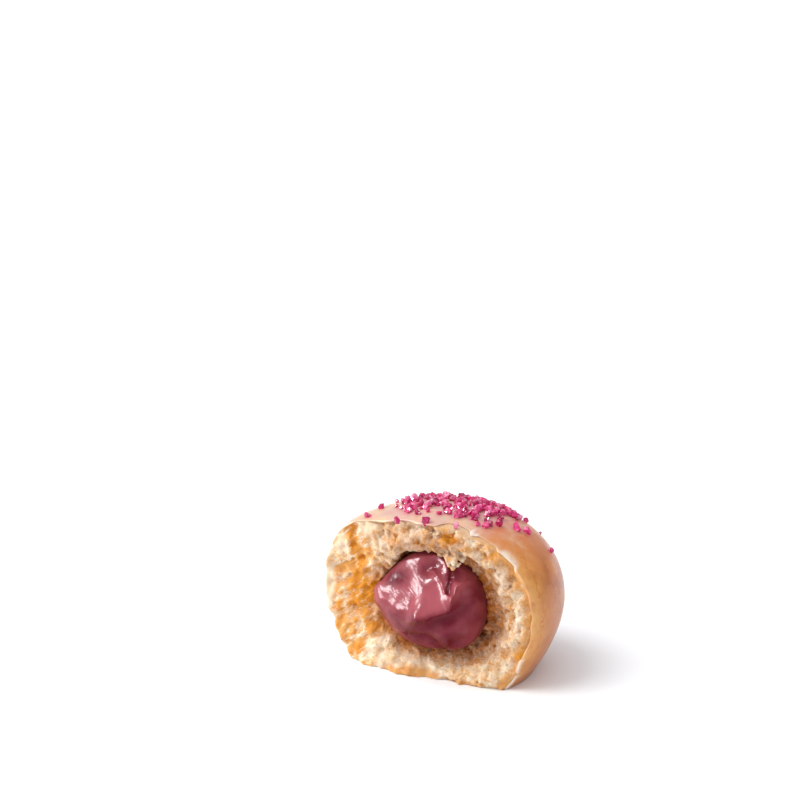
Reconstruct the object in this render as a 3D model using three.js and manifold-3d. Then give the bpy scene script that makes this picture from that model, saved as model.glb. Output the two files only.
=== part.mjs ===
// Torn half of a filled, glazed doughnut hole, in millimetres, +Z up, standing on z = 0.
// It is a flattened ball of fried dough with a flat foot, torn open on the -Y side.
// The torn face is a craggy bowl of crumb round a mound of berry cream, which runs back
// into the dough. Coarse sugar crystals are stuck in the glaze on the top.
import * as THREE from "three";
import { mergeVertices } from "three/addons/utils/BufferGeometryUtils.js";
import Module from "manifold-3d";

const wasm = await Module();
wasm.setup();

// The whole ball, before it was torn
const BALL_WIDTH = 48.8;
const BALL_HEIGHT = 32.5;
const FOOT_WIDTH = 37;
const WIDEST_HEIGHT = 14.6;
const TOP_FULLNESS = 2.25; // exponent of the dome's curve: 2 is an ellipse, more is squarer
const UNDERSIDE_FULLNESS = 1.6;

// A blunt shoulder at the upper left of the tear, as shares of the ball's size
const SHOULDER = {
  towards: new THREE.Vector3(-0.8, -0.25, 0.55).normalize(),
  height: 0.055,
  halfWidth: 0.42,
};

// The torn face: how far in front of the ball's axis it lies, and how it bends
const TEAR_FORWARD = 7.8;
const TEAR_BOW = 2.3; // its left and right sides lie this much further back than its middle
const TEAR_LEAN = 0.03; // its top comes further forward, by this share of its height
const BROW = { forward: 1.6, x: -1, z: 27, halfWidth: 11, halfHeight: 4.5 }; // overhang above the cream
const LIP = { forward: 2.2, x: -3, z: 0.8, halfWidth: 13, halfHeight: 4.2 }; // ledge below the cream

// The mound of cream, an ellipsoid with a blunt front and a long back
const CREAM_CENTRE = new THREE.Vector3(0.5, -5, 14.7);
const CREAM_HALF_WIDTH = 11.4;
const CREAM_HALF_HEIGHT = 9.9;
const CREAM_FRONT = 6.2;
const CREAM_BACK = 11.5;
const CREAM_GAP = 0.35; // clear space between the cream and the crumb round it
const PULL_TURN_DEG = 30; // the cream's folds face this far round from -Y towards +X
const PULL_RISE_DEG = 20; // and this far upwards

// The bowl round the cream: deepest at its lower right, all but gone at its upper left
const BOWL_DEPTH = 3.4;
const BOWL_DEPTH_SWING = 2.6;
const BOWL_DEEPEST_DEG = -30;
const BOWL_MOUTH = 1.06; // all three in half widths of the cream
const BOWL_EDGE = 1.58;
const BOWL_EDGE_SWING = 0.2;

// Coarse sugar, thick on a patch behind the ball's top and thin round it
const CRYSTAL_COUNT = 128;
const CRYSTAL_SIZE = 1.6;
const CRYSTAL_SUNK = 0.3; // share of a crystal that lies in the glaze
const PATCH_CENTRE = { x: 0.5, y: 6.5 };
const PATCH_RADIUS = 11.5;
const SPRINKLE_RADIUS = 21;
const PATCH_SHARE = 0.8; // share of the crystals that lie in the patch
const CLEAR_OF_TEAR = 1.2;

// Mesh rows, from the back of the ball to the tear, over the torn face, and into the cream's hollow
const COLUMNS = 84;
const SKIN_ROWS = 20;
const FACE_ROWS = 12;
const HOLLOW_ROWS = 7;
const CREAM_COLUMNS = 48;
const CREAM_ROWS = 24;

const BALL_RADIUS = BALL_WIDTH / 2;
const FOOT_RADIUS = FOOT_WIDTH / 2;
const BALL_CENTRE = new THREE.Vector3(0, 0, WIDEST_HEIGHT);
const FORWARDS = new THREE.Vector3(0, -1, 0);

const radians = THREE.MathUtils.degToRad;
const { smoothstep, lerp } = THREE.MathUtils;

const PULL_TURN = new THREE.Euler(radians(-PULL_RISE_DEG), 0, radians(PULL_TURN_DEG), "ZXY");
const PULL_ACROSS = new THREE.Vector3(1, 0, 0).applyEuler(PULL_TURN);
const PULL_UP = new THREE.Vector3(0, 0, 1).applyEuler(PULL_TURN);

// A hill of height 1 with half width 1, at a distance from its top.
const hill = (distance) => Math.exp(-distance * distance);

// A repeatable number from 0 to 1 for item i and use k.
function draw(i, k) {
  const wave = Math.sin(i * 127.1 + k * 311.7) * 43758.5453;
  return wave - Math.floor(wave);
}

// The depth below the table at which the round underside would close, if it had no flat foot.
const UNDERSIDE_REACH = (() => {
  const footShare = Math.pow(FOOT_RADIUS / BALL_RADIUS, UNDERSIDE_FULLNESS);
  return WIDEST_HEIGHT / Math.pow(1 - footShare, 1 / UNDERSIDE_FULLNESS) - WIDEST_HEIGHT;
})();

// The ball's radius at height z, as a curve squarer or sharper than an ellipse.
function ballRadiusAt(z) {
  const top = z > WIDEST_HEIGHT;
  const reach = top ? BALL_HEIGHT - WIDEST_HEIGHT : WIDEST_HEIGHT + UNDERSIDE_REACH;
  const fullness = top ? TOP_FULLNESS : UNDERSIDE_FULLNESS;
  const share = Math.min(1, Math.abs(z - WIDEST_HEIGHT) / reach);
  return BALL_RADIUS * Math.pow(1 - Math.pow(share, fullness), 1 / fullness);
}

// Slow swells that keep the ball from being perfectly round, as a share of its size.
function swell(direction) {
  return (
    SHOULDER.height * hill(direction.distanceTo(SHOULDER.towards) / SHOULDER.halfWidth) +
    0.009 * Math.sin(4.1 * direction.x + 1.7 * direction.z + 0.6) +
    0.007 * Math.sin(5.3 * direction.y - 3.1 * direction.z + 2.1) +
    0.005 * Math.sin(6.7 * direction.z + 4.3 * direction.x - 2.9 * direction.y)
  );
}

// The point of the ball's skin in a direction from its centre, found by halving.
function skinPoint(direction) {
  let near = 0;
  let far = 2 * BALL_RADIUS;
  for (let step = 0; step < 40; step++) {
    const middle = (near + far) / 2;
    const z = BALL_CENTRE.z + middle * direction.z;
    const across = middle * Math.hypot(direction.x, direction.y);
    if (across < ballRadiusAt(z)) near = middle;
    else far = middle;
  }
  return BALL_CENTRE.clone().addScaledVector(direction, near * (1 + swell(direction)));
}

// The direction at an angle round the Y axis (0 is +X, 90 is up) and an angle from -Y.
function directionAt(around, fromFront) {
  return new THREE.Vector3(
    Math.sin(fromFront) * Math.cos(around),
    -Math.cos(fromFront),
    Math.sin(fromFront) * Math.sin(around),
  );
}

// Crags of the torn crumb, as relief along Y.
function crags(x, z) {
  return (
    0.55 * Math.sin(0.62 * x + 0.9 * Math.sin(0.41 * z)) * Math.sin(0.71 * z + 0.4) +
    0.45 * Math.sin(1.15 * x - 0.55 * z + 1.1) * Math.sin(1.31 * z + 0.35 * x) +
    0.3 * Math.sin(2.05 * x + 1.3 * z) * Math.sin(1.9 * z - 0.8 * x + 2.0)
  );
}

// The Y of the torn face at a place on it.
function faceY(x, z) {
  const across = (x - CREAM_CENTRE.x) / CREAM_HALF_WIDTH;
  const up = (z - CREAM_CENTRE.z) / CREAM_HALF_HEIGHT;
  const fromCream = Math.hypot(across, up);
  const swing = Math.cos(Math.atan2(up, across) - radians(BOWL_DEEPEST_DEG));
  const edge = BOWL_EDGE + BOWL_EDGE_SWING * swing;
  const bowl =
    (BOWL_DEPTH + BOWL_DEPTH_SWING * swing) * (1 - smoothstep(fromCream, 1, edge));
  const ledge = (part) =>
    part.forward *
    hill((x - part.x) / part.halfWidth) *
    hill((z - part.z) / part.halfHeight);
  return (
    -TEAR_FORWARD +
    TEAR_BOW * (x / BALL_RADIUS) ** 2 -
    TEAR_LEAN * (z - WIDEST_HEIGHT) +
    bowl -
    ledge(BROW) -
    ledge(LIP) +
    crags(x, z)
  );
}

// The angle from -Y at which the skin meets the torn face, for an angle round the Y axis.
function tearAngle(around) {
  let front = radians(25);
  let back = radians(150);
  for (let step = 0; step < 30; step++) {
    const middle = (front + back) / 2;
    const point = skinPoint(directionAt(around, middle));
    if (point.y < faceY(point.x, point.z)) front = middle;
    else back = middle;
  }
  return back;
}

// Ridges and dimples of the cream, placed in millimetres across and up from its centre.
const RIDGES = [
  { name: "left arm", from: [2.3, 3.6], to: [4.1, -0.2], height: 0.9, halfWidth: 1.3 },
  { name: "right arm", from: [7.1, 2.9], to: [4.1, -0.2], height: 1, halfWidth: 1.4 },
  { name: "peak", from: [4.1, -0.2], to: [4.3, -2.4], height: 1.2, halfWidth: 1.7 },
  { name: "left crest", from: [4.3, -2.4], to: [-2.4, -4.9], height: 1, halfWidth: 1.7 },
  { name: "right crest", from: [4.3, -2.4], to: [9.5, -1], height: 0.6, halfWidth: 1.8 },
  { name: "left edge", from: [-2.4, -4.9], to: [-0.8, 2.2], height: 0.7, halfWidth: 1.5 },
  { name: "upper fold", from: [2.5, 7.6], to: [4, 3.4], height: 0.7, halfWidth: 1.2 },
  { name: "lower lobe", from: [3.4, -6.8], to: [7.2, -5.8], height: 0.9, halfWidth: 2.2 },
];
const DIMPLES = [
  { name: "upper left", at: [-5.9, 4.1], depth: 1.3, halfWidth: 2.4 },
  { name: "upper middle", at: [0.4, 5.6], depth: 1.1, halfWidth: 1.9 },
  { name: "between the arms", at: [5.2, 4.4], depth: 1.2, halfWidth: 1.6 },
  { name: "under the crest", at: [1, -6.2], depth: 1, halfWidth: 2.2 },
  { name: "below the lobe", at: [5.3, -8.8], depth: 0.9, halfWidth: 1.7 },
];

// How far a place on the cream lies from a straight ridge.
function fromRidge(across, up, ridge) {
  const [x0, y0] = ridge.from;
  const [dx, dy] = [ridge.to[0] - x0, ridge.to[1] - y0];
  const along = ((across - x0) * dx + (up - y0) * dy) / (dx * dx + dy * dy);
  const nearest = THREE.MathUtils.clamp(along, 0, 1);
  return Math.hypot(across - x0 - nearest * dx, up - y0 - nearest * dy);
}

// The relief at a point of the smooth cream. It fades out where the dough closes round it.
function creamRelief(point, direction) {
  const offset = point.clone().sub(CREAM_CENTRE);
  const across = offset.dot(PULL_ACROSS);
  const up = offset.dot(PULL_UP);
  const ridges = RIDGES.map((r) => r.height * hill(fromRidge(across, up, r) / r.halfWidth));
  const dimples = DIMPLES.map(
    (d) => -d.depth * hill(Math.hypot(across - d.at[0], up - d.at[1]) / d.halfWidth),
  );
  const relief = [...ridges, ...dimples].reduce((sum, part) => sum + part, 0);
  return relief * smoothstep(-direction.y, 0.12, 0.4);
}

// The point of the cream in a direction from its centre, with its lumpy outline.
function creamPoint(direction, extra = 0) {
  const depth = direction.y < 0 ? CREAM_FRONT : CREAM_BACK;
  const size = Math.hypot(
    direction.x / CREAM_HALF_WIDTH,
    direction.y / depth,
    direction.z / CREAM_HALF_HEIGHT,
  );
  const around = Math.atan2(direction.z, direction.x);
  const lumps = 0.035 * Math.sin(3 * around + 3.67) + 0.02 * Math.sin(5 * around + 5.07);
  const edge = Math.hypot(direction.x, direction.z);
  const reach = (1 + lumps * edge * edge) / size;
  return CREAM_CENTRE.clone().addScaledVector(direction, reach + extra);
}

// A closed surface of named columns and rows: a sphere whose vertices place() moves.
// place() gets the angle round the Y axis and the row's number, from 0 at the back.
function wrap(columns, rows, place) {
  const sphere = new THREE.SphereGeometry(1, columns, rows);
  const { position, uv } = sphere.attributes;
  for (let i = 0; i < position.count; i++) {
    const column = (columns - Math.round(uv.getX(i) * columns)) % columns;
    const row = Math.round((1 - uv.getY(i)) * rows);
    const atPole = row === 0 || row === rows;
    const point = place(atPole ? 0 : (2 * Math.PI * column) / columns, row);
    position.setXYZ(i, point.x, point.y, point.z);
  }
  return sphere;
}

// The ball with its torn face and the hollow that the cream fills, still round underneath.
function tornBallGeometry() {
  const edges = Array.from({ length: COLUMNS }, (_, c) => {
    const around = (2 * Math.PI * c) / COLUMNS;
    const angle = tearAngle(around);
    const rim = skinPoint(directionAt(around, angle));
    const mouth = creamPoint(directionAt(around, Math.PI / 2));
    mouth.sub(CREAM_CENTRE).multiplyScalar(BOWL_MOUTH).add(CREAM_CENTRE);
    mouth.y = faceY(mouth.x, mouth.z);
    const mouthAngle = mouth.clone().sub(CREAM_CENTRE).angleTo(FORWARDS);
    return { angle, rim, mouth, mouthAngle };
  });
  return wrap(COLUMNS, SKIN_ROWS + FACE_ROWS + HOLLOW_ROWS, (around, row) => {
    const { angle, rim, mouth, mouthAngle } = edges[Math.round((around * COLUMNS) / (2 * Math.PI))];
    if (row <= SKIN_ROWS) {
      return skinPoint(directionAt(around, lerp(Math.PI, angle, row / SKIN_ROWS)));
    }
    if (row <= SKIN_ROWS + FACE_ROWS) {
      const share = (row - SKIN_ROWS) / FACE_ROWS;
      const x = lerp(rim.x, mouth.x, share);
      const z = lerp(rim.z, mouth.z, share);
      return new THREE.Vector3(x, faceY(x, z), z);
    }
    const share = (row - SKIN_ROWS - FACE_ROWS) / HOLLOW_ROWS;
    const direction = directionAt(around, lerp(mouthAngle, Math.PI, share));
    return creamPoint(direction, CREAM_GAP);
  });
}

// The mound of cream, with the folds and pulled ridges of its front.
function creamGeometry() {
  return wrap(CREAM_COLUMNS, CREAM_ROWS, (around, row) => {
    const direction = directionAt(around, Math.PI * (1 - row / CREAM_ROWS));
    return creamPoint(direction, creamRelief(creamPoint(direction), direction));
  });
}

// One sugar crystal: a block with uneven corners, centred on the origin.
function crystalGeometry(i) {
  const size = CRYSTAL_SIZE * (0.75 + 0.5 * draw(i, 1));
  const block = new THREE.BoxGeometry(size * (0.9 + 0.45 * draw(i, 2)), size * 0.8, size * 0.75);
  const merged = closed(block);
  const { position } = merged.attributes;
  for (let corner = 0; corner < position.count; corner++) {
    const uneven = (k) => 0.72 + 0.4 * draw(i * 8 + corner, k);
    position.setXYZ(
      corner,
      position.getX(corner) * uneven(3),
      position.getY(corner) * uneven(4),
      position.getZ(corner) * uneven(5),
    );
  }
  return merged;
}

// Where crystal i lies, seen from above: in the patch, or sprinkled round it.
function crystalPlace(i) {
  const inPatch = i < CRYSTAL_COUNT * PATCH_SHARE;
  const order = inPatch
    ? (i + 0.5) / (CRYSTAL_COUNT * PATCH_SHARE)
    : (i - CRYSTAL_COUNT * PATCH_SHARE + 0.5) / (CRYSTAL_COUNT * (1 - PATCH_SHARE));
  const radius = inPatch
    ? PATCH_RADIUS * Math.sqrt(order)
    : lerp(PATCH_RADIUS * 0.8, SPRINKLE_RADIUS, order);
  const turn = 2.39996 * i + 0.9 * draw(i, 6);
  return {
    x: PATCH_CENTRE.x + radius * Math.cos(turn) + 0.8 * (draw(i, 7) - 0.5),
    y: PATCH_CENTRE.y + radius * Math.sin(turn) + 0.8 * (draw(i, 8) - 0.5),
  };
}

// The crystals that lie on the skin, clear of the tear, each turned its own way.
function crystalGeometries() {
  const made = [];
  for (let i = 0; i < CRYSTAL_COUNT; i++) {
    const { x, y } = crystalPlace(i);
    const across = Math.hypot(x, y);
    if (across > BALL_RADIUS * 0.93) continue;
    const share = Math.pow(across / BALL_RADIUS, TOP_FULLNESS);
    const rise = (BALL_HEIGHT - WIDEST_HEIGHT) * Math.pow(1 - share, 1 / TOP_FULLNESS);
    const outwards = new THREE.Vector3(x, y, rise).normalize();
    const foot = skinPoint(outwards);
    if (foot.y < faceY(foot.x, foot.z) + CLEAR_OF_TEAR) continue;
    const turned = new THREE.Euler(7 * draw(i, 9), 7 * draw(i, 10), 7 * draw(i, 11));
    const crystal = crystalGeometry(i).applyMatrix4(
      new THREE.Matrix4().makeRotationFromEuler(turned),
    );
    foot.addScaledVector(outwards, CRYSTAL_SIZE * (0.5 - CRYSTAL_SUNK));
    made.push(crystal.translate(foot.x, foot.y, foot.z));
  }
  return made;
}

// A geometry with its shared vertices merged, so that it is one closed mesh.
function closed(geometry) {
  const bare = geometry.clone();
  bare.deleteAttribute("normal");
  bare.deleteAttribute("uv");
  return mergeVertices(bare, 1e-4);
}

function solidFrom(geometry) {
  const merged = closed(geometry);
  return new wasm.Manifold(
    new wasm.Mesh({
      numProp: 3,
      vertProperties: merged.attributes.position.array,
      triVerts: new Uint32Array(merged.index.array),
    }),
  );
}

function geometryFrom(solid) {
  const mesh = solid.getMesh();
  const geometry = new THREE.BufferGeometry();
  geometry.setAttribute("position", new THREE.BufferAttribute(mesh.vertProperties, 3));
  geometry.setIndex(new THREE.BufferAttribute(mesh.triVerts, 1));
  geometry.computeVertexNormals();
  return geometry;
}

// The largest body of a solid, without loose scraps and without the gaps that crystals seal.
function largestBody(solid) {
  const bodies = solid.decompose();
  return bodies.reduce((best, body) => (body.volume() > best.volume() ? body : best));
}

// The dough: the torn ball, cut flat at the table, with the sugar fused to its top.
function doughSolid() {
  const belowTable = new THREE.BoxGeometry(3 * BALL_WIDTH, 3 * BALL_WIDTH, BALL_WIDTH);
  belowTable.translate(0, 0, -BALL_WIDTH / 2);
  let dough = solidFrom(tornBallGeometry()).subtract(solidFrom(belowTable));
  for (const crystal of crystalGeometries()) dough = dough.add(solidFrom(crystal));
  return largestBody(dough);
}

const dough = new THREE.Mesh(
  geometryFrom(doughSolid()),
  new THREE.MeshStandardMaterial({ color: "#e3b988", roughness: 0.45, metalness: 0 }),
);
dough.name = "dough";

const cream = new THREE.Mesh(
  geometryFrom(solidFrom(creamGeometry())),
  new THREE.MeshStandardMaterial({ color: "#8f3b4c", roughness: 0.25, metalness: 0 }),
);
cream.name = "cream";

// The part's origin is on the table, under the middle of its box.
const doughnutHole = new THREE.Group();
doughnutHole.add(dough, cream);
const middle = new THREE.Box3().setFromObject(doughnutHole).getCenter(new THREE.Vector3());
doughnutHole.position.set(-middle.x, -middle.y, 0);

export default doughnutHole;
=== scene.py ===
"""Torn half of a filled, glazed doughnut hole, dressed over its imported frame.

All forms are worked out in millimetres, from a point on the floor under the middle of the
whole ball, as the frame's own solids are. They become metres when a mesh is made.
"""

import logging
import math
from dataclasses import dataclass
from enum import Enum

import bmesh
import bpy
import numpy as np
import openvdb
from mathutils import Matrix, Vector

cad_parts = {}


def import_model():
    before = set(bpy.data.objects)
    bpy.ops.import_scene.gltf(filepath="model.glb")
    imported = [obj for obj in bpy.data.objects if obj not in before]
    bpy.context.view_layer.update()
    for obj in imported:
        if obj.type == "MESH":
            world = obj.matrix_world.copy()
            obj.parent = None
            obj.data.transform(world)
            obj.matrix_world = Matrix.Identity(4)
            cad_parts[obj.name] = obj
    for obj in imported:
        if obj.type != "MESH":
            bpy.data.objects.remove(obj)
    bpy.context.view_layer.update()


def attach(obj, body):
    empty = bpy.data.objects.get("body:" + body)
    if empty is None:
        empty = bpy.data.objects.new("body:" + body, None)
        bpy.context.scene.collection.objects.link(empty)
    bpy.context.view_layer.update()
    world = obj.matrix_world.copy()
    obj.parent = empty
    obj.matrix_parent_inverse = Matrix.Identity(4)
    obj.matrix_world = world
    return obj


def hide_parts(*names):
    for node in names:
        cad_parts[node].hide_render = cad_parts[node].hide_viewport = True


MM = 0.001
FAR = 1e3
BODY = "root"
LOG = logging.getLogger("doughnut_hole")

Array = np.ndarray
Faces = list[np.ndarray]
Object = bpy.types.Object
Material = bpy.types.Material
Socket = bpy.types.NodeSocket


def smoothstep(value: Array, low: float | Array, high: float | Array) -> Array:
    """Eases from 0 at low to 1 at high.

    Args:
        value: The numbers to ease.
        low: Where the result is 0.
        high: Where the result is 1.

    Returns:
        The eased numbers.
    """
    share = np.clip((value - low) / (high - low), 0.0, 1.0)
    return share * share * (3.0 - 2.0 * share)


def hill(distance: Array) -> Array:
    """A bump of height 1 and half width 1, at a distance from its top."""
    return np.exp(-distance * distance)


def draw(item: int, use: int) -> float:
    """A repeatable number from 0 to 1 for an item and a use of it."""
    wave = math.sin(item * 127.1 + use * 311.7) * 43758.5453
    return wave - math.floor(wave)


def unit(vectors: Array) -> Array:
    """The vectors with their lengths made 1."""
    return vectors / np.linalg.norm(vectors, axis=-1, keepdims=True)


def directions_at(around: Array, from_front: Array) -> Array:
    """Directions by angles round the Y axis.

    Args:
        around: Angle round the Y axis, 0 to the right and a quarter turn at the top.
        from_front: Angle from -Y.

    Returns:
        Unit vectors, one row each.
    """
    side = np.sin(from_front)
    return np.stack([side * np.cos(around), -np.cos(from_front), side * np.sin(around)], axis=-1)


class Noise:
    """Repeatable noise in space, with features of a size in millimetres."""

    stray = 0.7

    def __init__(self, seed: int) -> None:
        """Starts the noise from a seed."""
        self.seed = seed

    def _cells(self, places: Array, margin: int) -> tuple[Array, Array, tuple[int, ...]]:
        """Splits places into whole cells and what is left over.

        Args:
            places: Places in units of one cell.
            margin: Cells to keep free on each side.

        Returns:
            Cell numbers from the margin up, the places within the cells, and the grid's size.
        """
        floors = np.floor(places)
        whole = floors.astype(np.int32)
        lowest = whole.min(axis=0)
        size = tuple(int(n) for n in whole.max(axis=0) - lowest + 1 + 2 * margin)
        return whole - lowest + margin, (places - floors).astype(np.float32), size

    def soft(self, places: Array, size: float, salt: int = 0) -> Array:
        """Smooth random swells from -1 to 1.

        Args:
            places: Places in millimetres, one row each.
            size: Spacing of the swells in millimetres.
            salt: Number that makes one use differ from another.

        Returns:
            One number for each place.
        """
        cell, within, grid = self._cells(places / size, 1)
        values = np.random.default_rng([self.seed, salt]).random(grid, dtype=np.float32)
        eased = within * within * (3.0 - 2.0 * within)
        total = np.zeros(len(places), np.float32)
        for corner in np.ndindex(2, 2, 2):
            weight = np.ones(len(places), np.float32)
            for axis in range(3):
                share = eased[:, axis]
                weight *= share if corner[axis] else 1.0 - share
            x, y, z = (cell[:, axis] + corner[axis] for axis in range(3))
            total += weight * values[x, y, z]
        return 2.0 * total - 1.0

    def bend(self, places: Array, size: float, reach: float) -> Array:
        """Places moved about by soft swells.

        Args:
            places: Places in millimetres, one row each.
            size: Spacing of the swells in millimetres.
            reach: The most that a place moves along each axis, in millimetres.

        Returns:
            The moved places.
        """
        return places + reach * np.stack([self.soft(places, size, salt) for salt in (1, 2, 3)], axis=1)

    def webs(self, places: Array, size: float, salt: int, top: float, fall: float) -> Array:
        """Thin crests with broad dips between them.

        Args:
            places: Places in millimetres, one row each.
            size: Spacing of the swells that meet in the crests, in millimetres.
            salt: Number that makes one use differ from another.
            top: Height of the crests.
            fall: Drop from a crest to the deepest dip.

        Returns:
            One height for each place.
        """
        return top - fall * np.abs(self.soft(places, size, salt))

    def lumps(self, places: Array, size: float, salt: int, top: float, fall: float) -> Array:
        """Round lumps about scattered points, with narrow clefts between them.

        Args:
            places: Places in millimetres, one row each.
            size: Spacing of the points in millimetres.
            salt: Number that makes one use differ from another.
            top: Height of the lumps.
            fall: Drop from a lump's top to a place that lies one spacing away.

        Returns:
            One height for each place.
        """
        cell, within, grid = self._cells(places / size, 2)
        spread = np.random.default_rng([self.seed, salt]).random((*grid, 3), dtype=np.float32)
        scattered = (0.5 + self.stray * (spread - 0.5)) * size
        nearest = np.full(len(places), FAR, np.float32)
        side = np.where(within > 0.5, 0, -1).astype(np.int32)
        for corner in np.ndindex(2, 2, 2):
            step = side + np.array(corner, np.int32)
            x, y, z = (cell[:, axis] + step[:, axis] for axis in range(3))
            offset = scattered[x, y, z] + (step - within) * size
            np.minimum(nearest, np.sqrt((offset * offset).sum(axis=1)), out=nearest)
        return top - fall * (nearest / size) ** 2


@dataclass(frozen=True)
class Wave:
    """A slow wave of the ball's skin, by how fast it runs along each axis."""

    height: float
    x: float
    y: float
    z: float
    start: float

    def at(self, directions: Array) -> Array:
        """Its height in directions from the ball's middle, as a share of the ball's size."""
        return self.height * np.sin(directions @ np.array([self.x, self.y, self.z]) + self.start)


@dataclass(frozen=True)
class BallForm:
    """The whole ball before it was torn, with the sizes of the frame's dough."""

    width: float = 48.8
    height: float = 32.5
    foot_width: float = 37.0
    widest_height: float = 14.6
    top_fullness: float = 2.25
    underside_fullness: float = 1.6
    shoulder_towards: tuple[float, float, float] = (-0.8, -0.25, 0.55)
    shoulder_height: float = 0.055
    shoulder_half_width: float = 0.42
    waves: tuple[Wave, ...] = (
        Wave(height=0.009, x=4.1, y=0.0, z=1.7, start=0.6),
        Wave(height=0.007, x=0.0, y=5.3, z=-3.1, start=2.1),
        Wave(height=0.005, x=4.3, y=-2.9, z=6.7, start=0.0),
    )
    table_steps: int = 1441
    halvings: int = 40

    @property
    def radius(self) -> float:
        """Half the width."""
        return self.width / 2.0

    @property
    def centre(self) -> Array:
        """The middle of the ball at its widest height."""
        return np.array([0.0, 0.0, self.widest_height])

    def radius_at(self, z: Array) -> Array:
        """The ball's radius at heights.

        Args:
            z: Heights over the floor in millimetres.

        Returns:
            Radii in millimetres.
        """
        foot_share = (self.foot_width / self.width) ** self.underside_fullness
        below = self.widest_height / (1.0 - foot_share) ** (1.0 / self.underside_fullness)
        above = self.height - self.widest_height
        top = z > self.widest_height
        reach = np.where(top, above, below)
        fullness = np.where(top, self.top_fullness, self.underside_fullness)
        share = np.minimum(1.0, np.abs(z - self.widest_height) / reach)
        return self.radius * (1.0 - share**fullness) ** (1.0 / fullness)

    def swell(self, directions: Array) -> Array:
        """The shoulder and the slow waves of the skin.

        Args:
            directions: Unit vectors from the ball's middle.

        Returns:
            Heights as shares of the ball's size.
        """
        apart = np.linalg.norm(directions - unit(np.array(self.shoulder_towards)), axis=-1)
        shoulder = self.shoulder_height * hill(apart / self.shoulder_half_width)
        return shoulder + sum(wave.at(directions) for wave in self.waves)

    def reach(self, directions: Array) -> Array:
        """How far the skin lies from the ball's middle.

        Args:
            directions: Unit vectors from the ball's middle.

        Returns:
            Distances in millimetres.
        """
        rises = np.linspace(-math.pi / 2.0, math.pi / 2.0, self.table_steps)
        near = np.zeros(self.table_steps)
        far = np.full(self.table_steps, 2.0 * self.radius)
        for _ in range(self.halvings):
            middle = (near + far) / 2.0
            inside = middle * np.cos(rises) < self.radius_at(self.widest_height + middle * np.sin(rises))
            near = np.where(inside, middle, near)
            far = np.where(inside, far, middle)
        rise = np.arcsin(np.clip(directions[..., 2], -1.0, 1.0))
        return np.interp(rise, rises, near) * (1.0 + self.swell(directions))

    def skin(self, directions: Array, below: float | Array = 0.0) -> Array:
        """Points of the skin, or of a layer a depth below it, in directions from the middle."""
        return self.centre + directions * (self.reach(directions) - below)[..., None]

    def depth(self, places: Array) -> Array:
        """How deep places lie under the skin.

        Args:
            places: Places in millimetres.

        Returns:
            Depths in millimetres, negative outside.
        """
        offset = places - self.centre
        far = np.linalg.norm(offset, axis=-1)
        return self.reach(offset / np.maximum(far, 1e-6)[..., None]) - far


@dataclass(frozen=True)
class CreamForm:
    """The mound of cream, an ellipsoid with a blunt front and a long back.

    A lump wave is its height, its count round the mound and its start. A gap is its width and,
    in degrees round the mound, its middle and its half width.
    """

    centre: tuple[float, float, float] = (0.5, -5.0, 14.7)
    half_width: float = 11.4
    half_height: float = 9.9
    front: float = 5.6
    back: float = 11.5
    pull_turn_deg: float = 30.0
    pull_rise_deg: float = 20.0
    lump_waves: tuple[tuple[float, float, float], ...] = ((0.035, 3.0, 3.67), (0.02, 5.0, 5.07))
    least_gap: float = 0.05
    gaps: tuple[tuple[float, float, float], ...] = ((0.9, 118.0, 13.0), (0.3, 82.0, 10.0))

    @property
    def middle(self) -> Array:
        """The mound's centre as an array."""
        return np.array(self.centre)

    def pull_axes(self) -> tuple[Array, Array]:
        """The side of the cream that its folds face.

        Returns:
            Its directions to the right and up.
        """
        turn, rise = math.radians(self.pull_turn_deg), math.radians(self.pull_rise_deg)
        across = np.array([math.cos(turn), math.sin(turn), 0.0])
        up = np.array(
            [-math.sin(rise) * math.sin(turn), math.sin(rise) * math.cos(turn), math.cos(rise)]
        )
        return across, up

    def lumps(self, x: Array, z: Array) -> Array:
        """How far the mound swells out beyond an ellipse, as a share of its size."""
        around = np.arctan2(z, x)
        return sum(height * np.sin(count * around + start) for height, count, start in self.lump_waves)

    def smooth(self, directions: Array, extra: float | Array = 0.0) -> Array:
        """Points of the mound without its folds.

        Args:
            directions: Unit vectors from the mound's centre.
            extra: How far outside the surface, in millimetres.

        Returns:
            Points in millimetres.
        """
        x, y, z = np.moveaxis(directions, -1, 0)
        depth = np.where(y < 0.0, self.front, self.back)
        size = np.sqrt((x / self.half_width) ** 2 + (y / depth) ** 2 + (z / self.half_height) ** 2)
        reach = (1.0 + self.lumps(x, z) * (x * x + z * z)) / size
        return self.middle + directions * (reach + extra)[..., None]

    def hollow(self, places: Array) -> Array:
        """Distance from the hollow that holds the cream, which is open to the front.

        Args:
            places: Places in millimetres.

        Returns:
            Distances in millimetres, negative inside.
        """
        x, y, z = np.moveaxis(places - self.middle, -1, 0)
        behind = np.maximum(y, 0.0)
        flat = np.sqrt((x / self.half_width) ** 2 + (z / self.half_height) ** 2)
        size = np.sqrt(flat**2 + (behind / self.back) ** 2)
        return (size - 1.0 - self.lumps(x, z)) * self.half_height

    def gap(self, places: Array) -> Array:
        """How far the crumb stays clear of the cream, which is most at its top.

        Args:
            places: Places in millimetres.

        Returns:
            Widths in millimetres.
        """
        x, _, z = np.moveaxis(places - self.middle, -1, 0)
        around = np.degrees(np.arctan2(z, x))
        wider = sum(width * hill((around - at) / half_width) for width, at, half_width in self.gaps)
        return self.least_gap + wider


@dataclass(frozen=True)
class Ledge:
    """A place where the torn face juts out, in millimetres."""

    forward: float
    x: float
    z: float
    half_width: float
    half_height: float

    def height_at(self, x: Array, z: Array) -> Array:
        """How far the face juts out at places on it."""
        across = hill((x - self.x) / self.half_width)
        return self.forward * across * hill((z - self.z) / self.half_height)


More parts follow.
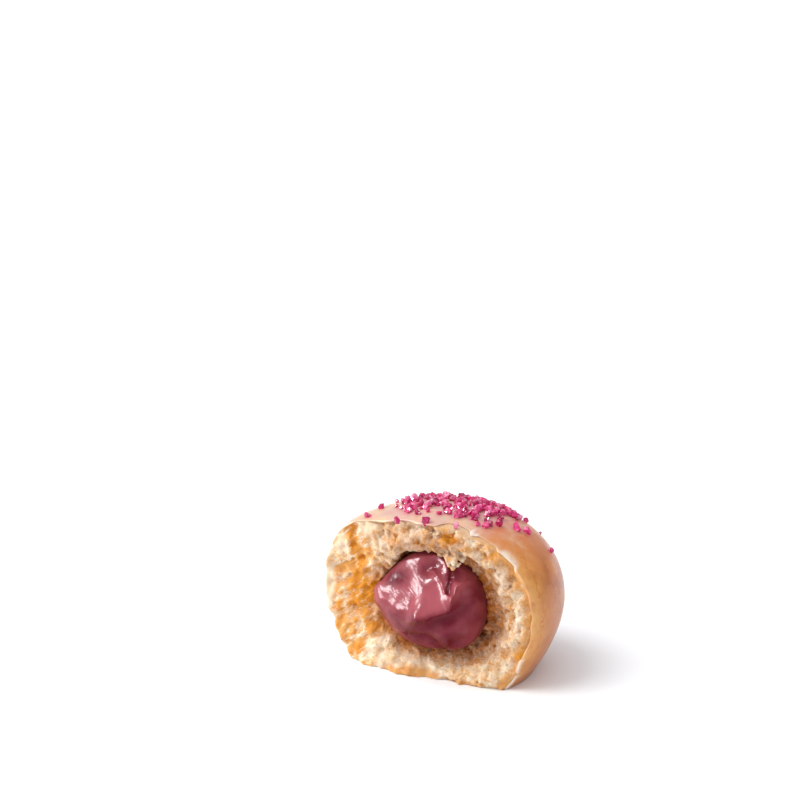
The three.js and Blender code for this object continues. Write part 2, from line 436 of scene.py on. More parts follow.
@dataclass(frozen=True)
class TearForm:
    """The torn face, as a depth along Y at each place on it."""

    ball: BallForm
    cream: CreamForm
    forward: float = 7.8
    bow: float = 2.3
    lean: float = 0.03
    bowl_depth: float = 3.4
    bowl_depth_swing: float = 2.6
    bowl_deepest_deg: float = -30.0
    bowl_edge: float = 1.58
    bowl_edge_swing: float = 0.2
    brow: Ledge = Ledge(forward=1.6, x=-1.0, z=27.0, half_width=11.0, half_height=4.5)
    lip: Ledge = Ledge(forward=2.2, x=-3.0, z=0.8, half_width=13.0, half_height=4.2)
    rim_between_deg: tuple[float, float] = (25.0, 150.0)
    halvings: int = 30

    def crags(self, x: Array, z: Array) -> Array:
        """The large crags of the crumb, in three sizes."""
        return (
            0.55 * np.sin(0.62 * x + 0.9 * np.sin(0.41 * z)) * np.sin(0.71 * z + 0.4)
            + 0.45 * np.sin(1.15 * x - 0.55 * z + 1.1) * np.sin(1.31 * z + 0.35 * x)
            + 0.3 * np.sin(2.05 * x + 1.3 * z) * np.sin(1.9 * z - 0.8 * x + 2.0)
        )

    def bowl(self, x: Array, z: Array) -> Array:
        """How far the face dips round the cream.

        Args:
            x: Places to the right on the face.
            z: Their heights over the floor.

        Returns:
            Depths in millimetres.
        """
        across = (x - self.cream.centre[0]) / self.cream.half_width
        up = (z - self.cream.centre[2]) / self.cream.half_height
        swing = np.cos(np.arctan2(up, across) - math.radians(self.bowl_deepest_deg))
        edge = self.bowl_edge + self.bowl_edge_swing * swing
        fall = 1.0 - smoothstep(np.hypot(across, up), 1.0, edge)
        return (self.bowl_depth + self.bowl_depth_swing * swing) * fall

    def face_y(self, x: Array, z: Array) -> Array:
        """The Y of the torn face at places on it."""
        return (
            -self.forward
            + self.bow * (x / self.ball.radius) ** 2
            - self.lean * (z - self.ball.widest_height)
            + self.bowl(x, z)
            - self.brow.height_at(x, z)
            - self.lip.height_at(x, z)
            + self.crags(x, z)
        )

    def rim_angles(self, around: Array) -> Array:
        """Where the skin meets the torn face.

        Args:
            around: Angles round the Y axis.

        Returns:
            Angles from -Y.
        """
        front, back = (np.full(around.shape, math.radians(limit)) for limit in self.rim_between_deg)
        for _ in range(self.halvings):
            middle = (front + back) / 2.0
            points = self.ball.skin(directions_at(around, middle))
            before = points[..., 1] < self.face_y(points[..., 0], points[..., 2])
            front = np.where(before, middle, front)
            back = np.where(before, back, middle)
        return back


@dataclass(frozen=True)
class Stand:
    """Where the ball's own axis stands in the frame, in millimetres."""

    ball_x: float
    ball_y: float

    def to_metres(self, points: Array) -> Array:
        """Millimetres from the ball's axis to metres in the frame."""
        return (points + np.array([self.ball_x, self.ball_y, 0.0])) * MM


class Dresser:
    """Makes meshes of the object's pieces and puts them on the frame."""

    def __init__(self, stand: Stand) -> None:
        """Keeps where the ball stands."""
        self.stand = stand

    def piece(self, name: str, points: Array, faces: Faces, finish: Material) -> Object:
        """Makes a smooth mesh that rides on the body.

        Args:
            name: The piece's name.
            points: Its points in millimetres from the ball's axis.
            faces: Arrays of point numbers, one row for each face.
            finish: Its material.

        Returns:
            The new object.
        """
        mesh = bpy.data.meshes.new(name)
        corners = np.concatenate([rows.reshape(-1) for rows in faces]).astype(np.int32)
        counts = np.concatenate([np.full(len(rows), rows.shape[1]) for rows in faces])
        starts = np.concatenate([[0], np.cumsum(counts)[:-1]]).astype(np.int32)
        mesh.vertices.add(len(points))
        mesh.vertices.foreach_set("co", self.stand.to_metres(points).astype(np.float32).reshape(-1))
        mesh.loops.add(len(corners))
        mesh.loops.foreach_set("vertex_index", corners)
        mesh.polygons.add(len(starts))
        mesh.polygons.foreach_set("loop_start", starts)
        mesh.update(calc_edges=True)
        mesh.validate()
        mesh.shade_smooth()
        mesh.materials.append(finish)
        made = bpy.data.objects.new(name, mesh)
        bpy.context.scene.collection.objects.link(made)
        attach(made, BODY)
        LOG.info("%s: %d faces", name, len(mesh.polygons))
        return made

    @staticmethod
    def note(piece: Object, **numbers: Array) -> None:
        """Stores numbers for each point of a piece, by name, for its finish to read."""
        for name, values in numbers.items():
            layer = piece.data.attributes.new(name, "FLOAT", "POINT")
            layer.data.foreach_set("value", np.ascontiguousarray(values, np.float32))


def ring_faces(rings: int, columns: int) -> Faces:
    """Faces of a closed surface of rings between two end points.

    The points are the first end, then each ring in turn, then the last end.

    Args:
        rings: How many rings there are.
        columns: How many points each has.

    Returns:
        The end fans' triangles, and the quads between the rings.
    """
    column = np.arange(columns)
    following = (column + 1) % columns
    last = 1 + (rings - 1) * columns
    start_fan = np.stack([np.zeros(columns, int), 1 + following, 1 + column], axis=1)
    end_fan = np.stack([np.full(columns, last + columns), last + column, last + following], axis=1)
    low = 1 + np.arange(rings - 1)[:, None] * columns
    high = low + columns
    quads = np.stack([low + column, low + following, high + following, high + column], axis=-1)
    return [np.concatenate([start_fan, end_fan]), quads.reshape(-1, 4)]


def largest_body(points: Array, faces: Faces) -> tuple[Array, Faces]:
    """Drops loose scraps and sealed bubbles from a surface.

    Args:
        points: The surface's points.
        faces: Arrays of point numbers, one row for each face.

    Returns:
        The points and faces of the largest connected surface.
    """
    edges = [np.stack([rows, np.roll(rows, -1, axis=1)], axis=-1).reshape(-1, 2) for rows in faces]
    first, second = np.concatenate(edges).T
    label = np.arange(len(points))
    while True:
        low = np.minimum(label[first], label[second])
        fresh = label.copy()
        np.minimum.at(fresh, first, low)
        np.minimum.at(fresh, second, low)
        fresh = fresh[fresh]
        if np.array_equal(fresh, label):
            break
        label = fresh
    kept = label == np.bincount(label).argmax()
    number = np.cumsum(kept) - 1
    return points[kept], [number[rows[kept[rows[:, 0]]]] for rows in faces]


def coarsen(points: Array, faces: Faces, hidden: Array, cell: float) -> tuple[Array, Faces]:
    """Merges points that aren't seen, to spend the triangles where they show.

    Args:
        points: A surface's points.
        faces: Arrays of point numbers, one row for each face.
        hidden: Which points may be merged.
        cell: Size of the cells that they are merged in, in millimetres.

    Returns:
        The new points, and triangles.
    """
    most_cells = 1024
    fans = [rows[:, [0, k, k + 1]] for rows in faces for k in range(1, rows.shape[1] - 1)]
    cells = np.floor(points / cell).astype(np.int64) + most_cells // 2
    keys = (cells[:, 0] * most_cells + cells[:, 1]) * most_cells + cells[:, 2]
    keys = np.where(hidden, keys, -1 - np.arange(len(points)))
    _, number = np.unique(keys, return_inverse=True)
    counts = np.bincount(number)
    merged = np.stack([np.bincount(number, points[:, axis]) / counts for axis in range(3)], axis=1)
    triangles = number[np.concatenate(fans)]
    first, second, third = triangles.T
    triangles = triangles[(first != second) & (second != third) & (third != first)]
    # Of triangles that fell together the first is kept, so that each run gives the same mesh.
    _, firsts = np.unique(np.sort(triangles, axis=1), axis=0, return_index=True)
    return merged, [triangles[np.sort(firsts)]]


def linear(colour: str) -> tuple[float, float, float, float]:
    """An sRGB hex colour as linear light.

    Args:
        colour: The colour, with its leading hash.

    Returns:
        Red, green and blue, and an alpha of 1.
    """
    parts = [int(colour[i : i + 2], 16) / 255.0 for i in (1, 3, 5)]
    curved = [p / 12.92 if p <= 0.04045 else ((p + 0.055) / 1.055) ** 2.4 for p in parts]
    return (*curved, 1.0)


# A pattern's numbers lie mostly between these two.
LOW, HIGH = 0.3, 0.7

# How a range of numbers is mapped to another, with soft ends.
EASED = {"interpolation_type": "SMOOTHSTEP"}


class Tree:
    """The nodes of a material, or of the studio's sky."""

    def __init__(self, owner: Material | bpy.types.World) -> None:
        """Starts with no nodes.

        Args:
            owner: What the nodes belong to.
        """
        owner.use_nodes = True
        self.nodes = owner.node_tree.nodes
        self.links = owner.node_tree.links
        self.nodes.clear()

    def add(
        self, kind: str, sockets: list | dict, output: int | str = 0, **settings: object
    ) -> Socket | None:
        """Adds a node with its settings and links.

        Args:
            kind: The node's type, without the ShaderNode at its start.
            sockets: What the inputs hold, by name or number, or from the first one on: a value,
                or an output of another node.
            output: Which of its outputs is wanted.
            **settings: The node's own properties.

        Returns:
            The output, or None where the node has none.
        """
        node = self.nodes.new(f"ShaderNode{kind}")
        for name, value in settings.items():
            setattr(node, name, value)
        for socket, value in sockets.items() if isinstance(sockets, dict) else enumerate(sockets):
            if isinstance(value, Socket):
                self.links.new(value, node.inputs[socket])
            else:
                node.inputs[socket].default_value = value
        return node.outputs[output] if len(node.outputs) else None


class Surface(Tree):
    """A material's nodes, which end in one principled shader."""

    def __init__(self, name: str) -> None:
        """Starts a material with no nodes."""
        self.material = bpy.data.materials.new(name)
        super().__init__(self.material)

    def pattern(
        self,
        size_mm: float,
        detail: float = 3.0,
        roughness: float = 0.55,
        distortion: float = 0.0,
        drawn: tuple[float, float, float] = (1.0, 1.0, 1.0),
        lean_deg: float = 0.0,
    ) -> Socket:
        """A soft pattern in the piece's own space.

        Args:
            size_mm: Its size in millimetres.
            detail: How many finer sizes are laid over it.
            roughness: How strong the finer sizes are.
            distortion: How far it is bent by itself.
            drawn: How far it is drawn out along each axis.
            lean_deg: How steeply what is drawn out rises to the right.

        Returns:
            Its numbers.
        """
        laid = {
            "Vector": self.add("TexCoord", {}, output="Object"),
            "Rotation": (0.0, -math.radians(lean_deg), 0.0),
            "Scale": drawn,
        }
        noise = {
            "Vector": self.add("Mapping", laid, vector_type="TEXTURE"),
            "Scale": 1.0 / (size_mm * MM),
            "Detail": detail,
            "Roughness": roughness,
            "Distortion": distortion,
        }
        return self.add("TexNoise", noise)

    def layered(self, colour: object, layers: list[tuple[Socket, object]]) -> Socket:
        """Lays colours over one another.

        Args:
            colour: The lowest one.
            layers: How far each further one covers what is below it, and the colour.

        Returns:
            The colour that shows.
        """
        for share, over in layers:
            colour = self.add("Mix", {0: share, 6: colour, 7: over}, output=2, data_type="RGBA")
        return colour

    def shade(self, sockets: dict[str, object]) -> Material:
        """Ends the nodes in the shader.

        Args:
            sockets: What the shader's inputs hold.

        Returns:
            The finished material.
        """
        shader = self.add("BsdfPrincipled", sockets)
        self.add("OutputMaterial", {"Surface": shader})
        return self.material


@dataclass(frozen=True)
class CrumbFinish:
    """Fried yeast dough, torn open: soft, dry and full of light.

    Raised grains are pale and gaps between them are golden, partly the dough's own colour and
    partly painted shade in the gaps. Painted shade makes it brown where it dips to the cream and
    under the brow. The skin under the glaze is fried crust. Dough that was pulled thin is amber,
    with strands that are drawn a little coarser than real ones, so that they show.
    """

    # Pale is for raised grains and golden for the gaps between them, which is partly painted shade.
    pale: str = "#F2E2CB"
    cream: str = "#E9CDAA"
    golden: str = "#DCA058"
    skin: str = "#EAD4B6"
    amber: str = "#D2881E"
    # Painted shade: brown in the recess round the cream and under the brow.
    brown: str = "#B86A22"
    crust: str = "#E0A866"
    crust_dark: str = "#CC8A48"
    mottle_mm: float = 2.6
    grain_mm: float = 0.45
    grain_depth_mm: float = 0.36
    strand_mm: float = 0.36
    strand_depth_mm: float = 0.16
    strand_drawn: tuple[float, float, float] = (5.0, 2.0, 1.0)
    strand_lean_deg: float = 37.0
    ior: float = 1.4
    specular: float = 0.15
    roughness: float = 0.75
    wet_roughness: float = 0.5
    light_reach_mm: tuple[float, float, float] = (0.6, 0.4, 0.25)

    def material(self) -> Material:
        """The crumb's material, from what its mesh stores and its patterns.

        Returns:
            The material.
        """
        surface = Surface("torn_fried_dough")
        names = ("grain", "streak", "pulled", "skin", "toast", "amber", "crust")
        stored = {name: surface.add("Attribute", {}, "Fac", attribute_name=name) for name in names}
        mottle = surface.pattern(self.mottle_mm)
        grain = surface.pattern(self.grain_mm, detail=5.0, roughness=0.7)
        strand = surface.pattern(
            self.strand_mm,
            roughness=0.6,
            distortion=1.4,
            drawn=self.strand_drawn,
            lean_deg=self.strand_lean_deg,
        )

        # The dough's own pale and golden, with the gaps between grains darker partly as painted shade.
        tone = stored["grain"]
        strands = surface.add("MapRange", [strand, LOW, HIGH, -0.6, 0.6], **EASED)
        for part in (
            surface.add("MapRange", [mottle, LOW, HIGH, -0.2, 0.25], **EASED),
            surface.add("Math", [stored["streak"], 0.5], operation="MULTIPLY"),
            surface.add("MapRange", [grain, LOW, HIGH, -0.45, 0.45], **EASED),
            surface.add("Math", [stored["pulled"], strands], operation="MULTIPLY"),
        ):
            tone = surface.add("Math", [tone, part], operation="ADD")

        # Painted shade: brown in the recess round the cream and under the brow, less on pale grains.
        toasted = surface.add("MapRange", [tone, 0.8, -0.4, 0.65, 1.0], **EASED)
        toasted = surface.add("Math", [stored["toast"], toasted], operation="MULTIPLY")
        soaked = surface.add("MapRange", [tone, 1.1, 0.1, 0.3, 1.0], **EASED)
        soaked = surface.add("Math", [stored["amber"], soaked], operation="MULTIPLY")
        browned = surface.add("MapRange", [mottle, 0.4, 0.65], **EASED)
        fried = surface.layered(linear(self.crust), [(browned, linear(self.crust_dark))])
        colour = surface.layered(
            linear(self.golden),
            [
                (surface.add("MapRange", [tone, -0.8, 0.0], **EASED), linear(self.cream)),
                (surface.add("MapRange", [tone, 0.0, 0.55], **EASED), linear(self.pale)),
                (stored["skin"], linear(self.skin)),
                (toasted, linear(self.brown)),
                (soaked, linear(self.amber)),
                (stored["crust"], fried),
            ],
        )

        calm = surface.add("MapRange", [stored["pulled"], 0.0, 1.0, 1.0, 0.45], **EASED)
        grains = {
            "Height": surface.add("Math", [grain, calm], operation="MULTIPLY"),
            "Strength": 1.0,
            "Distance": self.grain_depth_mm * MM,
        }
        strands_over_grains = {
            "Height": surface.add("Math", [strand, stored["pulled"]], operation="MULTIPLY"),
            "Strength": 1.0,
            "Distance": self.strand_depth_mm * MM,
            "Normal": surface.add("Bump", grains),
        }
        wet = surface.add("Math", [soaked, stored["crust"]], operation="MAXIMUM")
        wetness = [wet, 0.0, 1.0, self.roughness, self.wet_roughness]
        return surface.shade(
            {
                "Base Color": colour,
                "Roughness": surface.add("MapRange", wetness, **EASED),
                "IOR": self.ior,
                "Specular IOR Level": self.specular,
                "Subsurface Weight": 0.6,
                "Subsurface Radius": self.light_reach_mm,
                "Subsurface Scale": MM,
                "Normal": surface.add("Bump", strands_over_grains),
            }
        )


@dataclass(frozen=True)
class GlazeFinish:
    """Sugar glaze, poured on warm and dried to a thin satin shell.

    It is milky and faintly pink where it lies thickest on top, lets the brown crust through on the
    sides and near the floor, and is white where it broke at the tear. Its right side is painted
    browner, as painted shade. Behind the tear on the right it has a fine golden crack. The sugar's
    dye bleeds into it round each crystal. Its grain is drawn coarser than the real one, so that it
    shows.
    """

    milky: str = "#C8A598"
    creamy: str = "#D6B68E"
    clear: str = "#CE7C38"
    brown: str = "#B05C24"
    crust: str = "#BC6C2C"
    amber: str = "#DFA052"
    broken: str = "#F0DDCE"
    crevice: str = "#C47428"
    dye: str = "#C9476F"
    mottle_mm: float = 8.0
    cloud_mm: float = 2.4
    ripple_mm: float = 5.0
    ripple_depth_mm: float = 0.25
    grain_mm: float = 0.4
    grain_depth_mm: float = 0.02
    crack_behind_mm: float = 3.0
    crack_wander_mm: float = 1.1
    crack_half_width_mm: float = 0.34
    ior: float = 1.42
    roughness: float = 0.34
    light_reach_mm: tuple[float, float, float] = (1.0, 0.6, 0.4)

    def material(self) -> Material:
        """The glaze's material, from what its mesh stores and its patterns.

        Returns:
            The material.
        """
        surface = Surface("dried_sugar_glaze")
        names = ("thick", "amber", "dye", "broken", "behind", "cracked")
        stored = {name: surface.add("Attribute", {}, "Fac", attribute_name=name) for name in names}
        mottle = surface.pattern(self.mottle_mm, detail=4.0)
        cloud = surface.pattern(self.cloud_mm, detail=5.0, roughness=0.6)
        ripple = surface.pattern(self.ripple_mm, detail=1.0)
        grain = surface.pattern(self.grain_mm, detail=2.0)

        thick = stored["thick"]
        for pattern, reach in ((mottle, 0.2), (cloud, 0.07)):
            uneven = surface.add("MapRange", [pattern, LOW, HIGH, -reach, reach], **EASED)
            thick = surface.add("Math", [thick, uneven], operation="ADD")

        patchy = {}
        for name, least in (("amber", 0.5), ("broken", 0.55)):
            share = surface.add("MapRange", [cloud, LOW, 0.6, least, 1.0], **EASED)
            patchy[name] = surface.add("Math", [stored[name], share], operation="MULTIPLY")

        wander = self.crack_wander_mm
        behind = surface.add("MapRange", [cloud, 0.25, 0.75, -wander, wander], **EASED)
        behind = surface.add("Math", [stored["behind"], behind], operation="ADD")
        apart = surface.add("Math", [behind, self.crack_behind_mm], operation="SUBTRACT")
        apart = surface.add("Math", [apart], operation="ABSOLUTE")
        crack = surface.add("MapRange", [apart, self.crack_half_width_mm, 0.02], **EASED)
        crack = surface.add("Math", [crack, stored["cracked"]], operation="MULTIPLY")

        yellower = surface.add("MapRange", [mottle, 0.4, 0.62], **EASED)
        top = surface.layered(linear(self.milky), [(yellower, linear(self.creamy))])
        # Where there is little glaze, on the sides and near the floor, and where painted shade lies on
        # the right side, the browner colours show.
        colour = surface.layered(
            linear(self.crust),
            [
                (surface.add("MapRange", [thick, 0.0, 0.12], **EASED), linear(self.brown)),
                (surface.add("MapRange", [thick, 0.1, 0.55], **EASED), linear(self.clear)),
                (surface.add("MapRange", [thick, 0.5, 0.95], **EASED), top),
                (patchy["amber"], linear(self.amber)),
                (stored["dye"], linear(self.dye)),
                (patchy["broken"], linear(self.broken)),
                (crack, linear(self.crevice)),
            ],
        )
        ripples = {"Height": ripple, "Strength": 1.0, "Distance": self.ripple_depth_mm * MM}
        grains_over_ripples = {
            "Height": grain,
            "Strength": 1.0,
            "Distance": self.grain_depth_mm * MM,
            "Normal": surface.add("Bump", ripples),
        }
        satin = [grain, LOW, HIGH, self.roughness - 0.05, self.roughness + 0.06]
        return surface.shade(
            {
                "Base Color": colour,
                "Roughness": surface.add("MapRange", satin, **EASED),
                "IOR": self.ior,
                "Subsurface Weight": 0.3,
                "Subsurface Radius": self.light_reach_mm,
                "Subsurface Scale": MM,
                "Coat Weight": 0.1,
                "Coat Roughness": 0.15,
                "Normal": surface.add("Bump", grains_over_ripples),
            }
        )


@dataclass(frozen=True)
class CreamFinish:
    """Berry cream, whipped smooth and piped in: wet, dense and faintly see-through at its crests."""

    # The light colour is painted light on raised folds; grooves stay nearer the middle colour, as
    # painted shade.
    light: str = "#A04D55"
    middle: str = "#8E3F49"
    # Painted shade colour, where the cream's shade numbers lie.
    dark: str = "#640C20"
    streak_mm: float = 5.0
    fine_mm: float = 0.8
    fine_depth_mm: float = 0.06
    ior: float = 1.34
    specular: float = 0.3
    roughness: float = 0.17
    light_reach_mm: tuple[float, float, float] = (0.9, 0.25, 0.28)

    def material(self) -> Material:
        """The cream's material, from what its mesh stores and its patterns.

        Returns:
            The material.
        """
        surface = Surface("piped_berry_cream")
        names = ("height", "shade")
        stored = {name: surface.add("Attribute", {}, "Fac", attribute_name=name) for name in names}
        streak = surface.pattern(self.streak_mm)
        # Painted light and shade on the relief: raised folds paler and grooves darker, varied by the
        # streaks.
        uneven = surface.add("MapRange", [streak, LOW, HIGH, -0.5, 0.5], **EASED)
        tone = surface.add("Math", [stored["height"], uneven], operation="ADD")
        # Painted shade from the mound's shade numbers.
        uneven = surface.add("MapRange", [streak, LOW, HIGH, 0.12, -0.12], **EASED)
        shade = surface.add("Math", [stored["shade"], uneven], operation="ADD")
        colour = surface.layered(
            linear(self.middle),
            [
                (surface.add("MapRange", [tone, -1.0, 1.2], **EASED), linear(self.light)),
                (surface.add("MapRange", [shade, 0.0, 1.0], **EASED), linear(self.dark)),
            ],
        )
        fine = {
            "Height": surface.pattern(self.fine_mm),
            "Strength": 1.0,
            "Distance": self.fine_depth_mm * MM,
        }
        gloss = [streak, LOW, HIGH, self.roughness - 0.04, self.roughness + 0.06]
        return surface.shade(
            {
                "Base Color": colour,
                "Roughness": surface.add("MapRange", gloss, **EASED),
                "IOR": self.ior,
                "Specular IOR Level": self.specular,
                "Subsurface Weight": 0.2,
                "Subsurface Radius": self.light_reach_mm,
                "Subsurface Scale": MM,
                "Normal": surface.add("Bump", fine),
            }
        )


@dataclass(frozen=True)
class SugarFinish:
    """Coarse sugar, crushed and dyed: small hard facets that glint, with colour deep inside."""

    deep: str = "#B01052"
    bright: str = "#E42E7E"
    pale: str = "#F2A0BE"
    cloud_mm: float = 0.7
    ior: float = 1.54
    roughness: float = 0.14
    see_through: float = 0.25

    def material(self) -> Material:
        """The sugar's material, from what its mesh stores and a pattern.

        Returns:
            The material.
        """
        surface = Surface("dyed_coarse_sugar")
        tint = surface.add("Attribute", {}, "Fac", attribute_name="tint")
        cloud = surface.pattern(self.cloud_mm, detail=2.0)
        uneven = surface.add("MapRange", [cloud, LOW, HIGH, -0.25, 0.25], **EASED)
        tone = surface.add("Math", [tint, uneven], operation="ADD")
        colour = surface.layered(
            linear(self.deep),
            [
                (surface.add("MapRange", [tone, 0.0, 0.7], **EASED), linear(self.bright)),
                (surface.add("MapRange", [tone, 0.65, 1.1], **EASED), linear(self.pale)),
            ],
        )
        return surface.shade(
            {
                "Base Color": colour,
                "Roughness": self.roughness,
                "IOR": self.ior,
                "Transmission Weight": self.see_through,
            }
        )


@dataclass(frozen=True)
class BackdropFinish:
    """Matt white studio board, painted."""

    white: str = "#F4F4F4"
    roughness: float = 0.85

    def material(self) -> Material:
        """The board's material."""
        sockets = {"Base Color": linear(self.white), "Roughness": self.roughness}
        return Surface("matt_white_board").shade(sockets)


@dataclass(frozen=True)
class Fold:
    """A ridge along a bent line on a face, or a groove where the height is negative."""

    line: tuple[tuple[float, float], ...]
    height: float
    half_width: float

    crest_rounding = 0.1
    shelf_steepness = 4.0

    def nearest(self, across: Array, up: Array) -> tuple[Array, Array, Array]:
        """Where places lie by the line.

        Args:
            across: Millimetres to the right on the face.
            up: Millimetres up the face.

        Returns:
            The distance from the line in half widths, 1 on its left and -1 on its right, and how
            far past its ends the places are, in half widths.
        """
        best = np.full(len(across), FAR)
        side = np.ones(len(across))
        past = np.zeros(len(across))
        for start, end in zip(self.line, self.line[1:]):
            run = end[0] - start[0], end[1] - start[1]
            length = math.hypot(*run)
            share = ((across - start[0]) * run[0] + (up - start[1]) * run[1]) / length**2
            held = np.clip(share, 0.0, 1.0)
            far = np.hypot(across - start[0] - held * run[0], up - start[1] - held * run[1])
            left = (up - start[1]) * run[0] - (across - start[0]) * run[1]
            over = np.zeros(len(across))
            if start == self.line[0]:
                over = np.maximum(over, -share * length)
            if end == self.line[-1]:
                over = np.maximum(over, (share - 1.0) * length)
            closer = far < best
            best = np.where(closer, far, best)
            side = np.where(closer, np.sign(left), side)
            past = np.where(closer, over, past)
        return best / self.half_width, side, past / self.half_width

    def rounded(self, across: Array, up: Array) -> Array:
        """Height of a fold with a round back at places on the face."""
        return self.height * hill(self.nearest(across, up)[0])

    def sharp(self, across: Array, up: Array) -> Array:
        """Height of a fold with a crisp crest and hollow flanks at places on the face."""
        away = np.hypot(self.nearest(across, up)[0], self.crest_rounding)
        return self.height * np.exp(self.crest_rounding - away)

    def shelf(self, across: Array, up: Array) -> Array:
        """Height of a fold that stands out on the line's left side and drops off on its right."""
        away, side, past = self.nearest(across, up)
        return self.height * np.tanh(self.shelf_steepness * side * away) * np.exp(-away) * hill(past)


@dataclass(frozen=True)
class Tongue:
    """A pulled tongue of cream, which rises towards its lower edge and drops off beyond it.

    Each slope is where it begins and where it ends, in millimetres inside the edge.
    """

    height: float
    top: float
    left_edge: tuple[tuple[float, float], ...]
    right_edge: tuple[tuple[float, float], ...]
    lower_edge: tuple[tuple[float, float], ...]
    steepening: float = 1.3
    left_slope: tuple[float, float] = (-2.2, 0.7)
    right_slope: tuple[float, float] = (-1.6, 0.4)
    lower_slope: tuple[float, float] = (-0.7, 0.1)

    def rise(self, across: Array, up: Array) -> Array:
        """How far the tongue stands out.

        Args:
            across: Millimetres to the right on the face.
            up: Millimetres up the face.

        Returns:
            Heights in millimetres.
        """
        left, right = (
            np.interp(up, *zip(*((height, place) for place, height in edge)))
            for edge in (self.left_edge, self.right_edge)
        )
        lower = np.interp(across, *zip(*self.lower_edge))
        share = np.clip((self.top - up) / (self.top - lower), 0.0, 1.0)
        inside = smoothstep(across - left, *self.left_slope)
        inside *= smoothstep(right - across, *self.right_slope)
        return self.height * share**self.steepening * inside * smoothstep(up - lower, *self.lower_slope)


class Zone(Enum):
    """What a patch of the torn face shows."""

    AMBER = "amber"
    CRUST = "crust"
    SMOOTH = "smooth"
    # Painted shade.
    PAINTED_SHADE = "toast"


@dataclass(frozen=True)
class Patch:
    """A soft-edged patch on the torn face, by its middle and half sizes in millimetres."""

    zone: Zone
    x: float
    z: float
    half_width: float
    half_height: float
    strength: float = 1.0

    def share(self, points: Array) -> Array:
        """How far points belong to the patch, from 0 to its strength."""
        across = (points[:, 0] - self.x) / self.half_width
        return self.strength * hill(np.hypot(across, (points[:, 2] - self.z) / self.half_height))


@dataclass(frozen=True)
class RimPlace:
    """A stretch of the glaze's rim, by its angle round the tear.

    It lies a distance back from the tear, is thicker by a measure, and is broken by a share.
    """

    around_deg: float
    half_width_deg: float
    back: float = 0.0
    thicker: float = 0.0
    broken: float = 0.0

    def share(self, around: Array) -> Array:
        """How far angles belong to the stretch, from 0 to 1."""
        apart = (np.degrees(around) - self.around_deg + 180.0) % 360.0 - 180.0
        return 1.0 - smoothstep(np.abs(apart / self.half_width_deg), 0.7, 1.3)


